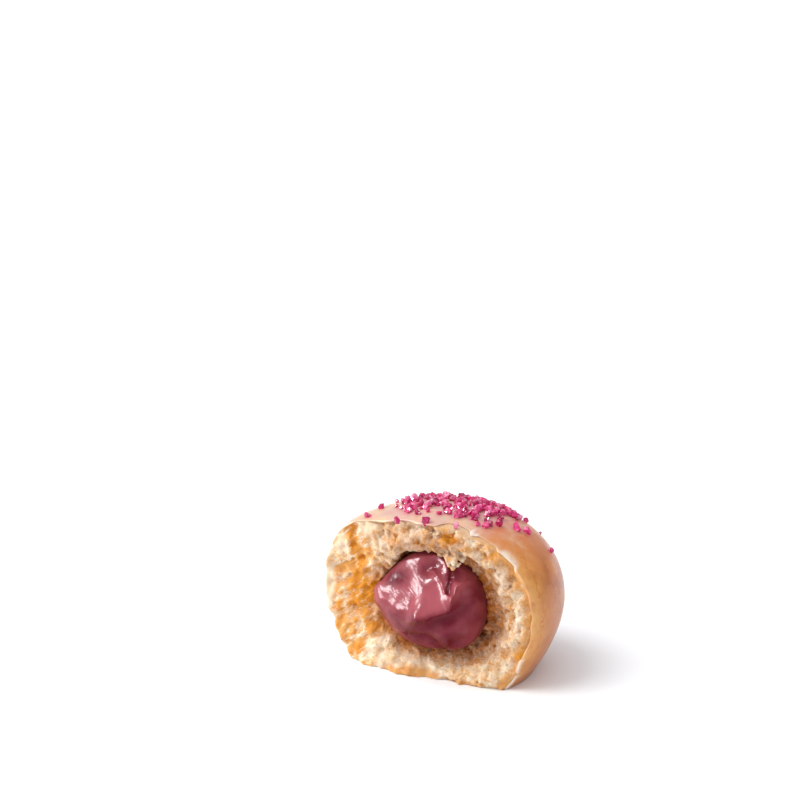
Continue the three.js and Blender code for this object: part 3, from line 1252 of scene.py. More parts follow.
@dataclass
class Crumb:
    """The torn inside of the dough, from the tear to a little way behind it.

    Its lumpiness goes by the angle round the cream from its top, in degrees: at 1 the crumb is
    all lumps. A web is its height, its size in millimetres and its salt.
    """

    ball: BallForm
    cream: CreamForm
    tear: TearForm
    patches: tuple[Patch, ...]
    strokes: tuple[Fold, ...]
    tuft_at: tuple[float, float, float] = (7.6, -8.6, 24.9)
    tuft_radius: float = 1.35
    tuft_spread: float = 0.6
    tuft_margin: float = 2.0
    tuft_crumbs: int = 30
    tuft_crumb_radii: tuple[float, float] = (0.25, 0.6)
    grid: float = 0.19
    hidden_cell: float = 1.0
    hidden_behind: float = 2.2
    hidden_under: float = 0.5
    bare_behind: float = 3.3
    under_skin: float = 0.32
    back_y: float = 3.5
    front_y: float = -13.5
    floor: float = 0.06
    band: float = 3.4
    face_slope: float = 0.8
    edge_roughness: float = 0.75
    left_from: tuple[float, float] = (9.0, 13.0)
    web_sizes: tuple[tuple[float, float, int], ...] = (
        (0.42, 3.8, 4),
        (0.36, 1.8, 5),
        (0.34, 0.9, 8),
        (0.2, 0.5, 9),
    )
    lumpy_at: tuple[tuple[float, float], ...] = (
        (-180.0, 0.45),
        (-140.0, 0.2),
        (-60.0, 0.2),
        (-35.0, 1.0),
        (50.0, 1.0),
        (80.0, 0.65),
        (150.0, 0.55),
        (180.0, 0.45),
    )
    seed: int = 11

    @staticmethod
    def slanted(points: Array) -> tuple[Array, Array]:
        """Places along and across a line on the face that rises to the right by 37 degrees."""
        return 0.8 * points[:, 0] + 0.6 * points[:, 2], 0.8 * points[:, 2] - 0.6 * points[:, 0]

    def left_share(self, places: Array) -> Array:
        """How far places belong to the pulled left side, from 0 to 1."""
        return smoothstep(-places[:, 0], *self.left_from)

    def streaks(self, places: Array) -> Array:
        """Strands, which lean to the right on the left side and elsewhere run out from the cream.

        Args:
            places: Places in millimetres.

        Returns:
            Heights from about -1.5 between the strands to 0.7 on them.
        """
        noise = Noise(self.seed + 4)
        offset = places - self.cream.middle
        x, y, z = offset.T
        bend = 0.8 * noise.soft(places, 3.0, 1)
        along, across = self.slanted(offset)
        slanted = np.stack([along / 6.0, across + bend, y / 1.6], axis=1)
        around = 13.0 * np.arctan2(z, x)
        radial = np.stack([np.hypot(x, z) / 3.2, around + bend, y / 1.6], axis=1)
        coarse = noise.webs(slanted, 1.2, 2, 0.5, 1.7)
        fine = noise.webs(slanted, 0.6, 4, 0.5, 1.7)
        left = self.left_share(places)
        return (0.8 * coarse + 0.6 * fine) * left + 0.7 * noise.soft(radial, 0.8, 3) * (1.0 - left)

    def grains(self, places: Array) -> Array:
        """The small lumps of the crumb, in two sizes.

        Args:
            places: Places in millimetres.

        Returns:
            Heights from about -0.7 in the gaps to 0.7 on top.
        """
        noise = Noise(self.seed)
        pulled = noise.bend(places, 1.3, 0.6) * np.array([1.0, 0.6, 1.0])
        large = noise.lumps(pulled, 1.5, 4, 0.4, 1.7)
        small = noise.lumps(pulled, 0.75, 5, 0.4, 1.7)
        share = smoothstep(noise.soft(places, 4.5, 6), -0.3, 0.4)
        return (0.3 + 0.5 * share) * large + 0.6 * small

    def clods(self, places: Array) -> Array:
        """Soft clods with narrow clefts between them.

        Args:
            places: Places in millimetres.

        Returns:
            Heights from about -0.5 in the clefts to 0.5 on top.
        """
        noise = Noise(self.seed + 6)
        pulled = noise.bend(places, 2.2, 1.1) * np.array([0.9, 0.6, 1.1])
        return noise.lumps(pulled, 2.8, 4, 0.5, 2.0)

    def webs(self, places: Array) -> Array:
        """Thin torn webs in several sizes.

        Args:
            places: Places in millimetres.

        Returns:
            Heights from about -0.9 between the crests to 0.5 on them.
        """
        noise = Noise(self.seed + 1)
        pulled = noise.bend(places, 4.0, 1.4) * np.array([1.0, 0.6, 1.0])
        total = np.zeros(len(places))
        for height, size, salt in self.web_sizes:
            total += height * noise.webs(pulled, size, salt, 0.4, 1.6)
        return total

    def lumpiness(self, places: Array) -> Array:
        """How far the crumb is lumps instead of webs: most over the cream, least on the left.

        Args:
            places: Places in millimetres.

        Returns:
            Shares from 0 to 1.
        """
        offset = places - self.cream.middle
        from_top = np.degrees(np.arctan2(offset[:, 0], offset[:, 2]))
        return np.interp(from_top, *zip(*self.lumpy_at))

    def tone(self, places: Array) -> Array:
        """How pale the crumb is: pale on its lumps and webs, dark between them, partly as painted shade.

        Args:
            places: Places in millimetres.

        Returns:
            Numbers from about -1 to 1.
        """
        lumpy = self.lumpiness(places)
        left = self.left_share(places)
        lumps = 0.6 * self.clods(places) + 0.7 * self.grains(places)
        webs = (0.85 - 0.5 * lumpy - 0.3 * left) * self.webs(places)
        return 0.1 - 0.35 * left + 0.9 * lumpy * lumps + webs + 0.8 * left * self.streaks(places)

    def rough(self, places: Array) -> Array:
        """How far the crumb stands out from the smooth face.

        Args:
            places: Places near the face, in millimetres.

        Returns:
            Heights in millimetres.
        """
        noise = Noise(self.seed + 1)
        lumpy = self.lumpiness(places)
        left = self.left_share(places)
        rough = (
            0.6 * noise.soft(places, 6.0, 6)
            + lumpy * (self.clods(places) + 0.5 * self.grains(places))
            + (1.0 - 0.4 * lumpy - 0.6 * left) * self.webs(places)
            + (0.3 + 0.3 * left) * self.streaks(places)
            + 0.14 * (1.0 - left) * noise.soft(places, 0.45, 7)
        )
        smooth = np.maximum(self.zone_share(places, Zone.SMOOTH), self.rind(places))
        calm = (1.0 - 0.8 * np.minimum(smooth, 1.0)) * (1.0 - 0.45 * left)
        strokes = sum(stroke.rounded(places[:, 0], places[:, 2]) for stroke in self.strokes)
        return rough * calm + strokes

    def zone_share(self, points: Array, zone: Zone) -> Array:
        """How far points belong to a zone.

        Args:
            points: Points in millimetres.
            zone: The zone.

        Returns:
            Shares from 0 to its patches' greatest strength.
        """
        total = np.zeros(len(points))
        for patch in self.patches:
            if patch.zone is zone:
                total = np.maximum(total, patch.share(points))
        return total

    def ragged_share(self, points: Array, zone: Zone, size: float) -> Array:
        """How far points belong to a zone with ragged edges.

        Args:
            points: Points in millimetres.
            zone: The zone.
            size: Size of the jags in millimetres.

        Returns:
            Shares from 0 to 1.
        """
        along, across = self.slanted(points)
        slanted = np.stack([along / 3.0, across, points[:, 1]], axis=1)
        mix = 0.5 + 0.5 * Noise(self.seed + 3).soft(slanted, size, 1)
        return smoothstep(self.zone_share(points, zone) * (0.55 + 0.9 * mix), 0.25, 0.95)

    def rind(self, points: Array) -> Array:
        """How far points belong to the smooth golden rind under the skin on the right side."""
        ragged = self.ball.depth(points) + 0.8 * Noise(self.seed + 7).soft(points, 2.5, 1)
        return smoothstep(-ragged, -2.2, -1.1) * smoothstep(points[:, 0], 12.0, 17.0)

    def toast(self, points: Array) -> Array:
        """How far painted shade browns the crumb where it dips to the cream and in its shade patches.

        Args:
            points: Points in millimetres.

        Returns:
            Shares from 0 to 1.
        """
        reach = 3.4 + 1.8 * smoothstep(points[:, 0], 2.0, 10.0)
        near = hill(np.maximum(self.cream.hollow(points), 0.0) / reach)
        near *= smoothstep(points[:, 1], -8.4, -5.2) * smoothstep(points[:, 2], 1.5, 3.5)
        return np.maximum(near, self.zone_share(points, Zone.PAINTED_SHADE))

    def tuft(self, places: Array) -> Array:
        """Distance from the tuft of small crumbs that hangs over the cream.

        Args:
            places: Places in millimetres.

        Returns:
            Distances in millimetres, negative inside.
        """
        random = np.random.default_rng(self.seed + 8)
        nearest = np.full(len(places), FAR)
        for _ in range(self.tuft_crumbs):
            stray = random.normal(size=3) * self.tuft_radius * self.tuft_spread
            middle = np.array(self.tuft_at) + stray
            radius = random.uniform(*self.tuft_crumb_radii)
            np.minimum(nearest, np.linalg.norm(places - middle, axis=1) - radius, out=nearest)
        return nearest - 0.18 * Noise(self.seed + 8).soft(places, 0.6, 1)

    def field(self) -> tuple[Array, Array]:
        """The crumb as distances on a grid, negative inside.

        Returns:
            The distances in millimetres, and the place of the grid's first point.
        """
        reach = self.ball.radius * 1.08
        low = np.array([-reach, self.front_y, -1.0])
        high = np.array([reach, self.back_y + 1.0, self.ball.height + 1.5])
        axes = [np.arange(start, end, self.grid) for start, end in zip(low, high)]
        shape = tuple(len(axis) for axis in axes)
        places = np.stack(np.meshgrid(*axes, indexing="ij"), axis=-1)
        places = places.reshape(-1, 3).astype(np.float32)
        under = self.ball.depth(places).astype(np.float32) - self.under_skin
        face = self.face_slope * (self.tear.face_y(places[:, 0], places[:, 2]) - places[:, 1])
        hollow = self.cream.hollow(places) - self.cream.gap(places)
        distance = np.maximum(np.maximum(face, -under), -hollow)
        near = (np.abs(face) < self.band) & (under > -0.6) & (hollow > -1.2)
        close = places[near]
        rough = self.rough(close) * (0.35 + 0.65 * smoothstep(under[near], 0.0, 1.0))
        torn = np.maximum(face[near] - rough, -under[near])
        edge = self.edge_roughness * self.grains(close)
        distance[near] = np.maximum(torn, -hollow[near] - edge)
        from_tuft = np.linalg.norm(places - np.array(self.tuft_at), axis=1)
        tuft = from_tuft < self.tuft_radius + self.tuft_margin
        distance[tuft] = np.minimum(distance[tuft], self.tuft(places[tuft]))
        distance = np.maximum(distance, self.floor - places[:, 2])
        distance = np.maximum(distance, places[:, 1] - self.back_y)
        return distance.reshape(shape), low

    def build(self, dresser: Dresser, finish: Material) -> Object:
        """Meshes the crumb, coarser where it can't be seen.

        Args:
            dresser: What makes the mesh.
            finish: Its material.

        Returns:
            The piece.
        """
        distances, low = self.field()
        volume = openvdb.FloatGrid(background=self.grid * 4.0)
        volume.copyFromArray(distances.astype(np.float32))
        points, triangles, quads = volume.convertToPolygons(isovalue=0.0, adaptivity=0.0)
        points = points * self.grid + low
        faces = [rows.astype(np.int64) for rows in (triangles, quads) if len(rows)]
        points, faces = largest_body(points, faces)
        behind = points[:, 1] - self.tear.face_y(points[:, 0], points[:, 2])
        covered = self.ball.depth(points) - self.under_skin > self.hidden_under
        hidden = (behind > self.bare_behind) | ((behind > self.hidden_behind) & covered)
        points, faces = coarsen(points, faces, hidden, self.hidden_cell)
        piece = dresser.piece("crumb", points, faces, finish)
        self.describe(dresser, piece, points)
        return piece

    def describe(self, dresser: Dresser, piece: Object, points: Array) -> None:
        """Stores what the finish needs to know at each point.

        Args:
            dresser: What stores it.
            piece: The crumb.
            points: Its points.
        """
        bare = self.ragged_share(points, Zone.SMOOTH, 2.0)
        amber = np.maximum(self.ragged_share(points, Zone.AMBER, 1.6), 0.7 * self.rind(points))
        depth = self.ball.depth(points) - self.under_skin
        side = 0.5 * (1.0 - smoothstep(depth, 0.02, 0.2)) * smoothstep(points[:, 2], 25.0, 28.0)
        dresser.note(
            piece,
            grain=self.tone(points),
            streak=self.streaks(points),
            pulled=self.left_share(points) * (1.0 - bare),
            toast=self.toast(points),
            amber=amber,
            skin=bare,
            crust=np.maximum(side, self.ragged_share(points, Zone.CRUST, 1.0)),
        )


@dataclass
class Glaze:
    """The shell of glaze, from behind the ball round to its ragged rim at the tear."""

    ball: BallForm
    tear: TearForm
    rim_places: tuple[RimPlace, ...]
    crystal_feet: Array
    thickness: float = 0.3
    ragged: float = 0.32
    wave: float = 0.12
    lowest: float = 0.015
    columns: int = 540
    rows: int = 96
    rows_crowd: float = 1.5
    inner_rows: int = 8
    inner_end: float = 0.08
    edge_rings: int = 3
    evened_columns: int = 7
    ends_behind: float = 30.0
    seed: int = 22

    def along_rim(self, around: Array, share_of: str) -> Array:
        """The sum of one of the rim places' sizes at angles round the tear."""
        return sum(getattr(place, share_of) * place.share(around) for place in self.rim_places)

    def rim_shift(self, around: Array) -> Array:
        """How far the rim stays behind the tear.

        Args:
            around: Angles round the tear.

        Returns:
            Distances in millimetres.
        """
        noise = Noise(self.seed)
        circle = np.stack([np.cos(around), np.zeros_like(around), np.sin(around)], axis=1) * 20.0
        jags = self.ragged * noise.soft(circle, 3.4, 1) + 0.1 * self.ragged * noise.soft(circle, 1.4, 2)
        return jags + self.along_rim(around, "back")

    def evened(self, angles: Array) -> Array:
        """The tear's rim without its small jags, which the poured glaze has rounded off.

        Args:
            angles: The rim's angles from -Y, all round the tear.

        Returns:
            The evened angles.
        """
        reach = self.evened_columns
        window = hill(np.arange(-2 * reach, 2 * reach + 1) / reach)
        padded = np.concatenate([angles[-2 * reach :], angles, angles[: 2 * reach]])
        return np.convolve(padded, window / window.sum(), "valid")

    def layer(self, around: Array, from_front: Array, below: Array, lowest: float) -> Array:
        """Points of the glaze.

        Args:
            around: Their angles round the Y axis.
            from_front: Their angles from -Y.
            below: How far they lie below the ball's skin, in millimetres.
            lowest: The height that they are kept above.

        Returns:
            Points in millimetres.
        """
        points = self.ball.skin(directions_at(around, from_front), below)
        points[..., 2] = np.maximum(points[..., 2], lowest)
        return points

    def build(self, dresser: Dresser, finish: Material) -> Object:
        """Meshes the glaze as a closed shell: its outside, its round edge and its inside.

        Args:
            dresser: What makes the mesh.
            finish: Its material.

        Returns:
            The piece.
        """
        around = np.linspace(0.0, 2.0 * math.pi, self.columns, endpoint=False)
        rim = self.evened(self.tear.rim_angles(around)) + self.rim_shift(around) / self.ball.radius
        thickness = self.thickness + self.along_rim(around, "thicker")

        share = 1.0 - (1.0 - np.arange(1, self.rows + 1) / self.rows) ** self.rows_crowd
        outer = math.pi + (rim - math.pi) * share[:, None]
        smooth = self.ball.skin(directions_at(around, outer)).reshape(-1, 3)
        uneven = Noise(self.seed + 1).soft(smooth, 6.0, 1).reshape(outer.shape)
        waves = self.wave * (1.0 + uneven) / 2.0
        outside = self.layer(around, outer, waves, self.lowest)

        bend = (np.arange(1, self.edge_rings + 1) / (self.edge_rings + 1.0) * math.pi)[:, None]
        forward = np.sin(bend) * thickness / 2.0 / self.ball.radius
        below = waves[-1] + (1.0 - np.cos(bend)) * thickness / 2.0
        edge = self.layer(around, rim - forward, below, 2.0 * self.lowest)

        share = np.linspace(1.0, self.inner_end, self.inner_rows)
        inner = math.pi + (rim - math.pi) * share[:, None]
        inside = self.layer(around, inner, waves[-1] + thickness, 3.0 * self.lowest)

        rings = np.concatenate([outside, edge, inside])
        pole = np.array([[0.0, 1.0, 0.0]])
        first, last = self.ball.skin(pole, self.wave), self.ball.skin(pole, self.thickness)
        points = np.concatenate([first, rings.reshape(-1, 3), last])
        piece = dresser.piece("glaze", points, ring_faces(len(rings), self.columns), finish)

        back = np.concatenate([outer - rim, -forward, inner - rim]) * self.ball.radius
        behind = np.concatenate([[self.ends_behind], back.reshape(-1), [self.ends_behind]])
        turned = np.concatenate([[0.0], np.tile(around, len(rings)), [0.0]])
        self.describe(dresser, piece, points, behind, turned)
        return piece

    def describe(
        self, dresser: Dresser, piece: Object, points: Array, behind: Array, around: Array
    ) -> None:
        """Stores what the finish needs to know at each point.

        Args:
            dresser: What stores it.
            piece: The glaze.
            points: Its points.
            behind: How far each lies behind the rim, in millimetres.
            around: Each one's angle round the tear.
        """
        noise = Noise(self.seed + 2)
        width = 0.35 + 0.7 * np.clip(noise.soft(points, 2.6, 1), 0.0, 1.0)
        broken = np.clip(0.12 + self.along_rim(around, "broken"), 0.0, 1.0)
        right = smoothstep(np.cos(around), 0.75, 0.95)
        back = smoothstep(points[:, 1] - 0.7 * points[:, 0], 0.0, 15.0)
        top = smoothstep(points[:, 2], 0.5, self.ball.height - 0.5 - 9.0 * back)
        # Painted shade on the right side, which takes glaze colour off so that the browner colours show.
        shade = 0.37 * smoothstep(points[:, 0], 4.0, 20.0) * (1.0 - back)
        nearest = np.full(len(points), FAR)
        for foot in self.crystal_feet:
            np.minimum(nearest, np.linalg.norm(points - foot, axis=1), out=nearest)
        dresser.note(
            piece,
            broken=broken * hill(behind / (width * (1.0 + broken))),
            behind=behind,
            cracked=right,
            amber=hill(behind / (3.0 + 1.6 * right)) * (0.2 + 0.7 * right),
            thick=top ** (1.3 - 0.4 * back) - shade,
            dye=0.42 * hill(nearest) + 0.14 * hill(nearest / 4.0),
        )


@dataclass
class Cream:
    """The mound of cream, with the folds and pulled ridges of its front.

    The folds are placed as seen square to the side that they face, in millimetres to the right
    of the mound's centre and above it. So are the patches with fine brushed lines, each of which
    is a strength, a middle and half sizes.
    """

    form: CreamForm
    tongue: Tongue
    crests: tuple[Fold, ...]
    folds: tuple[Fold, ...]
    shelves: tuple[Fold, ...]
    # Where shade is painted on the cream.
    shades: tuple[Fold, ...]
    brushed: tuple[tuple[float, float, float, float, float], ...] = (
        (1.0, -3.8, 5.0, 1.8, 2.2),
        (0.8, -5.4, 0.8, 2.0, 2.6),
    )
    brushed_height: float = 0.11
    settling_shares: tuple[float, ...] = (1.0, 0.7, 0.5, 0.4)
    front_columns: int = 280
    back_columns: int = 60
    rows: int = 280
    seed: int = 31

    def on_face(self, points: Array) -> tuple[Array, Array]:
        """Places on the side that the folds face.

        Args:
            points: Points in millimetres.

        Returns:
            How far they lie to the right of the mound's centre, and how far above it.
        """
        across_axis, up_axis = self.form.pull_axes()
        offset = points - self.form.middle
        return offset @ across_axis, offset @ up_axis

    def relief(self, points: Array, directions: Array) -> Array:
        """Height of the folds over points of the smooth mound, in millimetres.

        A fold's height moves it outwards, so the height is found where it ends up.

        Args:
            points: Points of the smooth mound.
            directions: Unit vectors to them from the mound's centre.

        Returns:
            Heights along the directions.
        """
        height = np.zeros(len(points))
        for share in self.settling_shares:
            moved = points + directions * height[:, None]
            height += share * (self.height_at(moved, directions) - height)
        return height

    def height_at(self, points: Array, directions: Array) -> Array:
        """Height of the folds at points of the finished surface.

        Args:
            points: The points.
            directions: Unit vectors to them from the mound's centre.

        Returns:
            Heights in millimetres.
        """
        noise = Noise(self.seed)
        across, up = self.on_face(points)
        bent_across = across + 0.12 * noise.soft(points, 1.1, 4) + 0.25 * noise.soft(points, 4.0, 6)
        bent_up = up + 0.12 * noise.soft(points, 1.1, 5) + 0.25 * noise.soft(points, 4.0, 7)
        total = 0.25 * noise.soft(points, 4.5, 1) + 0.08 * noise.soft(points, 1.5, 2)
        total += self.tongue.rise(bent_across, bent_up)
        for fold in self.crests:
            total += fold.sharp(bent_across, bent_up)
        for fold in self.folds:
            total += fold.rounded(bent_across, bent_up)
        for fold in self.shelves:
            total += fold.shelf(bent_across, bent_up)
        share = np.zeros(len(points))
        for strength, x, z, half_width, half_height in self.brushed:
            near = hill(np.hypot((across - x) / half_width, (up - z) / half_height))
            share = np.maximum(share, strength * near)
        lines = np.stack([(across + 0.9 * up) / 0.32, (up - 0.9 * across) / 4.0, 0.0 * up], axis=1)
        total += self.brushed_height * share * noise.soft(lines, 1.0, 3)
        return total * smoothstep(-directions[:, 1], 0.02, 0.35)

    def shade(self, points: Array) -> Array:
        """Where shade is painted on the cream.

        Args:
            points: Points in millimetres.

        Returns:
            Shares from 0 to 1.
        """
        noise = Noise(self.seed + 1)
        across, up = self.on_face(points)
        across = across + 0.7 * noise.soft(points, 2.4, 1)
        up = up + 0.7 * noise.soft(points, 2.4, 2)
        light = np.ones(len(points))
        for shade in self.shades:
            light *= 1.0 - shade.rounded(across, up)
        return 1.0 - light

    def build(self, dresser: Dresser, finish: Material) -> Object:
        """Meshes the mound, with most of its columns in front.

        Args:
            dresser: What makes the mesh.
            finish: Its material.

        Returns:
            The piece.
        """
        rise = np.linspace(-math.pi / 2.0, math.pi / 2.0, self.rows + 2)[1:-1, None]
        front = np.linspace(-math.pi, 0.0, self.front_columns, endpoint=False)
        back = np.linspace(0.0, math.pi, self.back_columns, endpoint=False)
        turn = np.concatenate([front, back])
        flat, high = np.cos(rise), np.sin(rise) + 0.0 * turn
        rings = np.stack([flat * np.cos(turn), flat * np.sin(turn), high], axis=-1).reshape(-1, 3)
        directions = np.concatenate([[[0.0, 0.0, -1.0]], rings, [[0.0, 0.0, 1.0]]])
        height = self.relief(self.form.smooth(directions), directions)
        points = self.form.smooth(directions, height)
        piece = dresser.piece("cream_mound", points, ring_faces(self.rows, len(turn)), finish)
        # The height paints light on raised folds and shade in grooves, and the shade numbers paint
        # shade.
        dresser.note(piece, height=height, shade=self.shade(points))
        return piece


@dataclass
class Sugar:
    """Coarse sugar crystals, at the places that the frame's dough has them.

    Small grains lie among them, and lone crystals at places of their own. A place is in
    millimetres to the right and to the back, seen from above.
    """

    ball: BallForm
    tear: TearForm
    count: int = 128
    size: float = 1.6
    sunk: float = 0.3
    patch_x: float = 0.5
    patch_y: float = 6.5
    patch_radius: float = 11.5
    sprinkle_radius: float = 21.0
    patch_share: float = 0.8
    golden_turn: float = 2.39996
    stray: float = 0.8
    edge_share: float = 0.93
    clear_of_tear: float = 1.2
    seen_share: float = 0.95
    corners: int = 22
    grains: int = 150
    grain_share: float = 0.55
    lone: tuple[tuple[float, float], ...] = ()
    lone_clear_of_tear: float = -1.5

    def place(self, item: int) -> tuple[float, float]:
        """Where one of the frame's crystals lies.

        Args:
            item: The crystal's number.

        Returns:
            Its place.
        """
        inner = self.count * self.patch_share
        if item < inner:
            radius = self.patch_radius * math.sqrt((item + 0.5) / inner)
        else:
            order = (item - inner + 0.5) / (self.count * (1.0 - self.patch_share))
            radius = self.patch_radius * 0.8 * (1.0 - order) + self.sprinkle_radius * order
        turn = self.golden_turn * item + 0.9 * draw(item, 6)
        x = self.patch_x + radius * math.cos(turn) + self.stray * (draw(item, 7) - 0.5)
        y = self.patch_y + radius * math.sin(turn) + self.stray * (draw(item, 8) - 0.5)
        return x, y

    def grain_place(self, item: int) -> tuple[float, float]:
        """Where one of the small grains among the crystals lies.

        Args:
            item: The grain's number.

        Returns:
            Its place.
        """
        radius = (self.patch_radius + 1.5) * math.sqrt(draw(item, 13))
        turn = 2.0 * math.pi * draw(item, 14)
        return self.patch_x - 1.0 + radius * math.cos(turn), self.patch_y + radius * math.sin(turn)

    def foot(self, x: float, y: float, clear_of_tear: float) -> tuple[Array, Array] | None:
        """Where a crystal meets the skin.

        Args:
            x: Its place to the right, seen from above.
            y: Its place to the back, seen from above.
            clear_of_tear: How far behind the tear it has to be.

        Returns:
            The point, and the way out from there, or None if the crystal is left out.
        """
        across = math.hypot(x, y)
        if across > self.ball.radius * self.edge_share:
            return None
        fullness = self.ball.top_fullness
        share = (across / self.ball.radius) ** fullness
        rise = (self.ball.height - self.ball.widest_height) * (1.0 - share) ** (1.0 / fullness)
        outwards = unit(np.array([x, y, rise]))
        foot = self.ball.skin(outwards[None])[0]
        if foot[1] < self.tear.face_y(foot[0], foot[2]) + clear_of_tear:
            return None
        return foot, outwards

    def stands(self) -> list[tuple[int, float, Array, Array]]:
        """Where the crystals stand.

        Returns:
            Every crystal's number, share of the full size, foot on the skin and way out.
        """
        spots = [(*self.place(item), 1.0, self.clear_of_tear) for item in range(self.count)]
        for item in range(self.count, self.count + self.grains):
            spots.append((*self.grain_place(item), self.grain_share, self.clear_of_tear))
        spots += [(x, y, 1.0, self.lone_clear_of_tear) for x, y in self.lone]
        made = []
        for item, (x, y, share, clear) in enumerate(spots):
            stand = self.foot(x, y, clear)
            if stand is not None:
                made.append((item, share, *stand))
        return made

    def crystal(self, item: int, share: float) -> tuple[Array, Array]:
        """One crushed crystal about its own middle.

        Args:
            item: The crystal's number.
            share: Its share of the full size.

        Returns:
            Its points and its triangles.
        """
        size = share * self.seen_share * self.size * (0.75 + 0.5 * draw(item, 1))
        sides = np.array([size * (0.9 + 0.45 * draw(item, 2)), size * 0.8, size * 0.75]) / 2.0
        random = np.random.default_rng([41, item])
        round_form = unit(random.normal(size=(self.corners, 3)))
        boxy = round_form / np.abs(round_form).max(axis=1, keepdims=True)
        chipped = random.uniform(0.85, 1.02, (self.corners, 1))
        shape = (0.55 * boxy + 0.5 * round_form) * sides * chipped
        mesh = bpy.data.meshes.new("crystal")
        mesh.from_pydata(shape.tolist(), [], [])
        solid = bmesh.new()
        solid.from_mesh(mesh)
        bpy.data.meshes.remove(mesh)
        hull = bmesh.ops.convex_hull(solid, input=solid.verts)
        spare = [part for part in hull["geom_interior"] if isinstance(part, bmesh.types.BMVert)]
        bmesh.ops.delete(solid, geom=spare, context="VERTS")
        solid.verts.index_update()
        points = np.array([corner.co[:] for corner in solid.verts])
        triangles = np.array([[corner.index for corner in face.verts] for face in solid.faces])
        solid.free()
        return points, triangles

    def build(self, dresser: Dresser, finish: Material) -> Object:
        """Meshes all crystals as one piece.

        Args:
            dresser: What makes the mesh.
            finish: Its material.

        Returns:
            The piece.
        """
        points, faces, tints, used = [], [], [], 0
        for item, share, foot, outwards in self.stands():
            shape, triangles = self.crystal(item, share)
            turned = Matrix.Identity(3)
            for axis, use in (("X", 9), ("Y", 10), ("Z", 11)):
                turned = Matrix.Rotation(7.0 * draw(item, use), 3, axis) @ turned
            middle = foot + outwards * self.size * share * (0.5 - self.sunk)
            points.append(shape @ np.array(turned).T + middle)
            faces.append(triangles + used)
            tints.append(np.full(len(shape), draw(item, 12)))
            used += len(shape)
        together = np.concatenate(points)
        piece = dresser.piece("sugar_crystals", together, [np.concatenate(faces)], finish)
        piece.data.shade_flat()
        dresser.note(piece, tint=np.concatenate(tints))
        return piece


def outwards_at(turn_deg: float, rise_deg: float) -> Vector:
    """A way out from the object.

    Args:
        turn_deg: How far it is turned to the right of the front.
        rise_deg: How far it rises over the floor.

    Returns:
        A unit vector.
    """
    turn, rise = math.radians(turn_deg), math.radians(rise_deg)
    flat = math.cos(rise)
    return Vector((math.sin(turn) * flat, -math.cos(turn) * flat, math.sin(rise)))


@dataclass(frozen=True)
class Lamp:
    """A studio lamp, aimed at the object from a side and a height."""

    name: str
    turn_deg: float
    rise_deg: float
    power: float
    distance: float
    colour: str = "#FFFFFF"

    def place(self, light: bpy.types.Light, target: Vector) -> Object:
        """Puts a light in its place.

        Args:
            light: The light's settings.
            target: What it is aimed at, in metres.

        Returns:
            The lamp.
        """
        out = outwards_at(self.turn_deg, self.rise_deg)
        light.energy = self.power
        light.color = linear(self.colour)[:3]
        made = bpy.data.objects.new(self.name, light)
        made.location = target + out * self.distance
        made.rotation_mode = "QUATERNION"
        made.rotation_quaternion = (-out).to_track_quat("-Z", "Y")
        bpy.context.scene.collection.objects.link(made)
        return made


@dataclass(frozen=True)
class FarLamp(Lamp):
    """A large soft lamp so far off that it lights the whole floor evenly."""

    spread_deg: float = 30.0

    def build(self, target: Vector) -> Object:
        """Places the lamp.

        Args:
            target: What it is aimed at, in metres.

        Returns:
            The lamp.
        """
        light = bpy.data.lights.new(self.name, "SUN")
        light.angle = math.radians(self.spread_deg)
        return self.place(light, target)


@dataclass(frozen=True)
class Softbox(Lamp):
    """A lamp behind a square diffuser, near enough to show as a window in wet surfaces."""

    side: float = 0.3

    def build(self, target: Vector) -> Object:
        """Places the lamp, to show only as a highlight.

        Args:
            target: What it is aimed at, in metres.

        Returns:
            The lamp.
        """
        light = bpy.data.lights.new(self.name, "AREA")
        light.shape = "RECTANGLE"
        light.size, light.size_y = self.side, self.side
        made = self.place(light, target)
        made.visible_diffuse = False
        return made


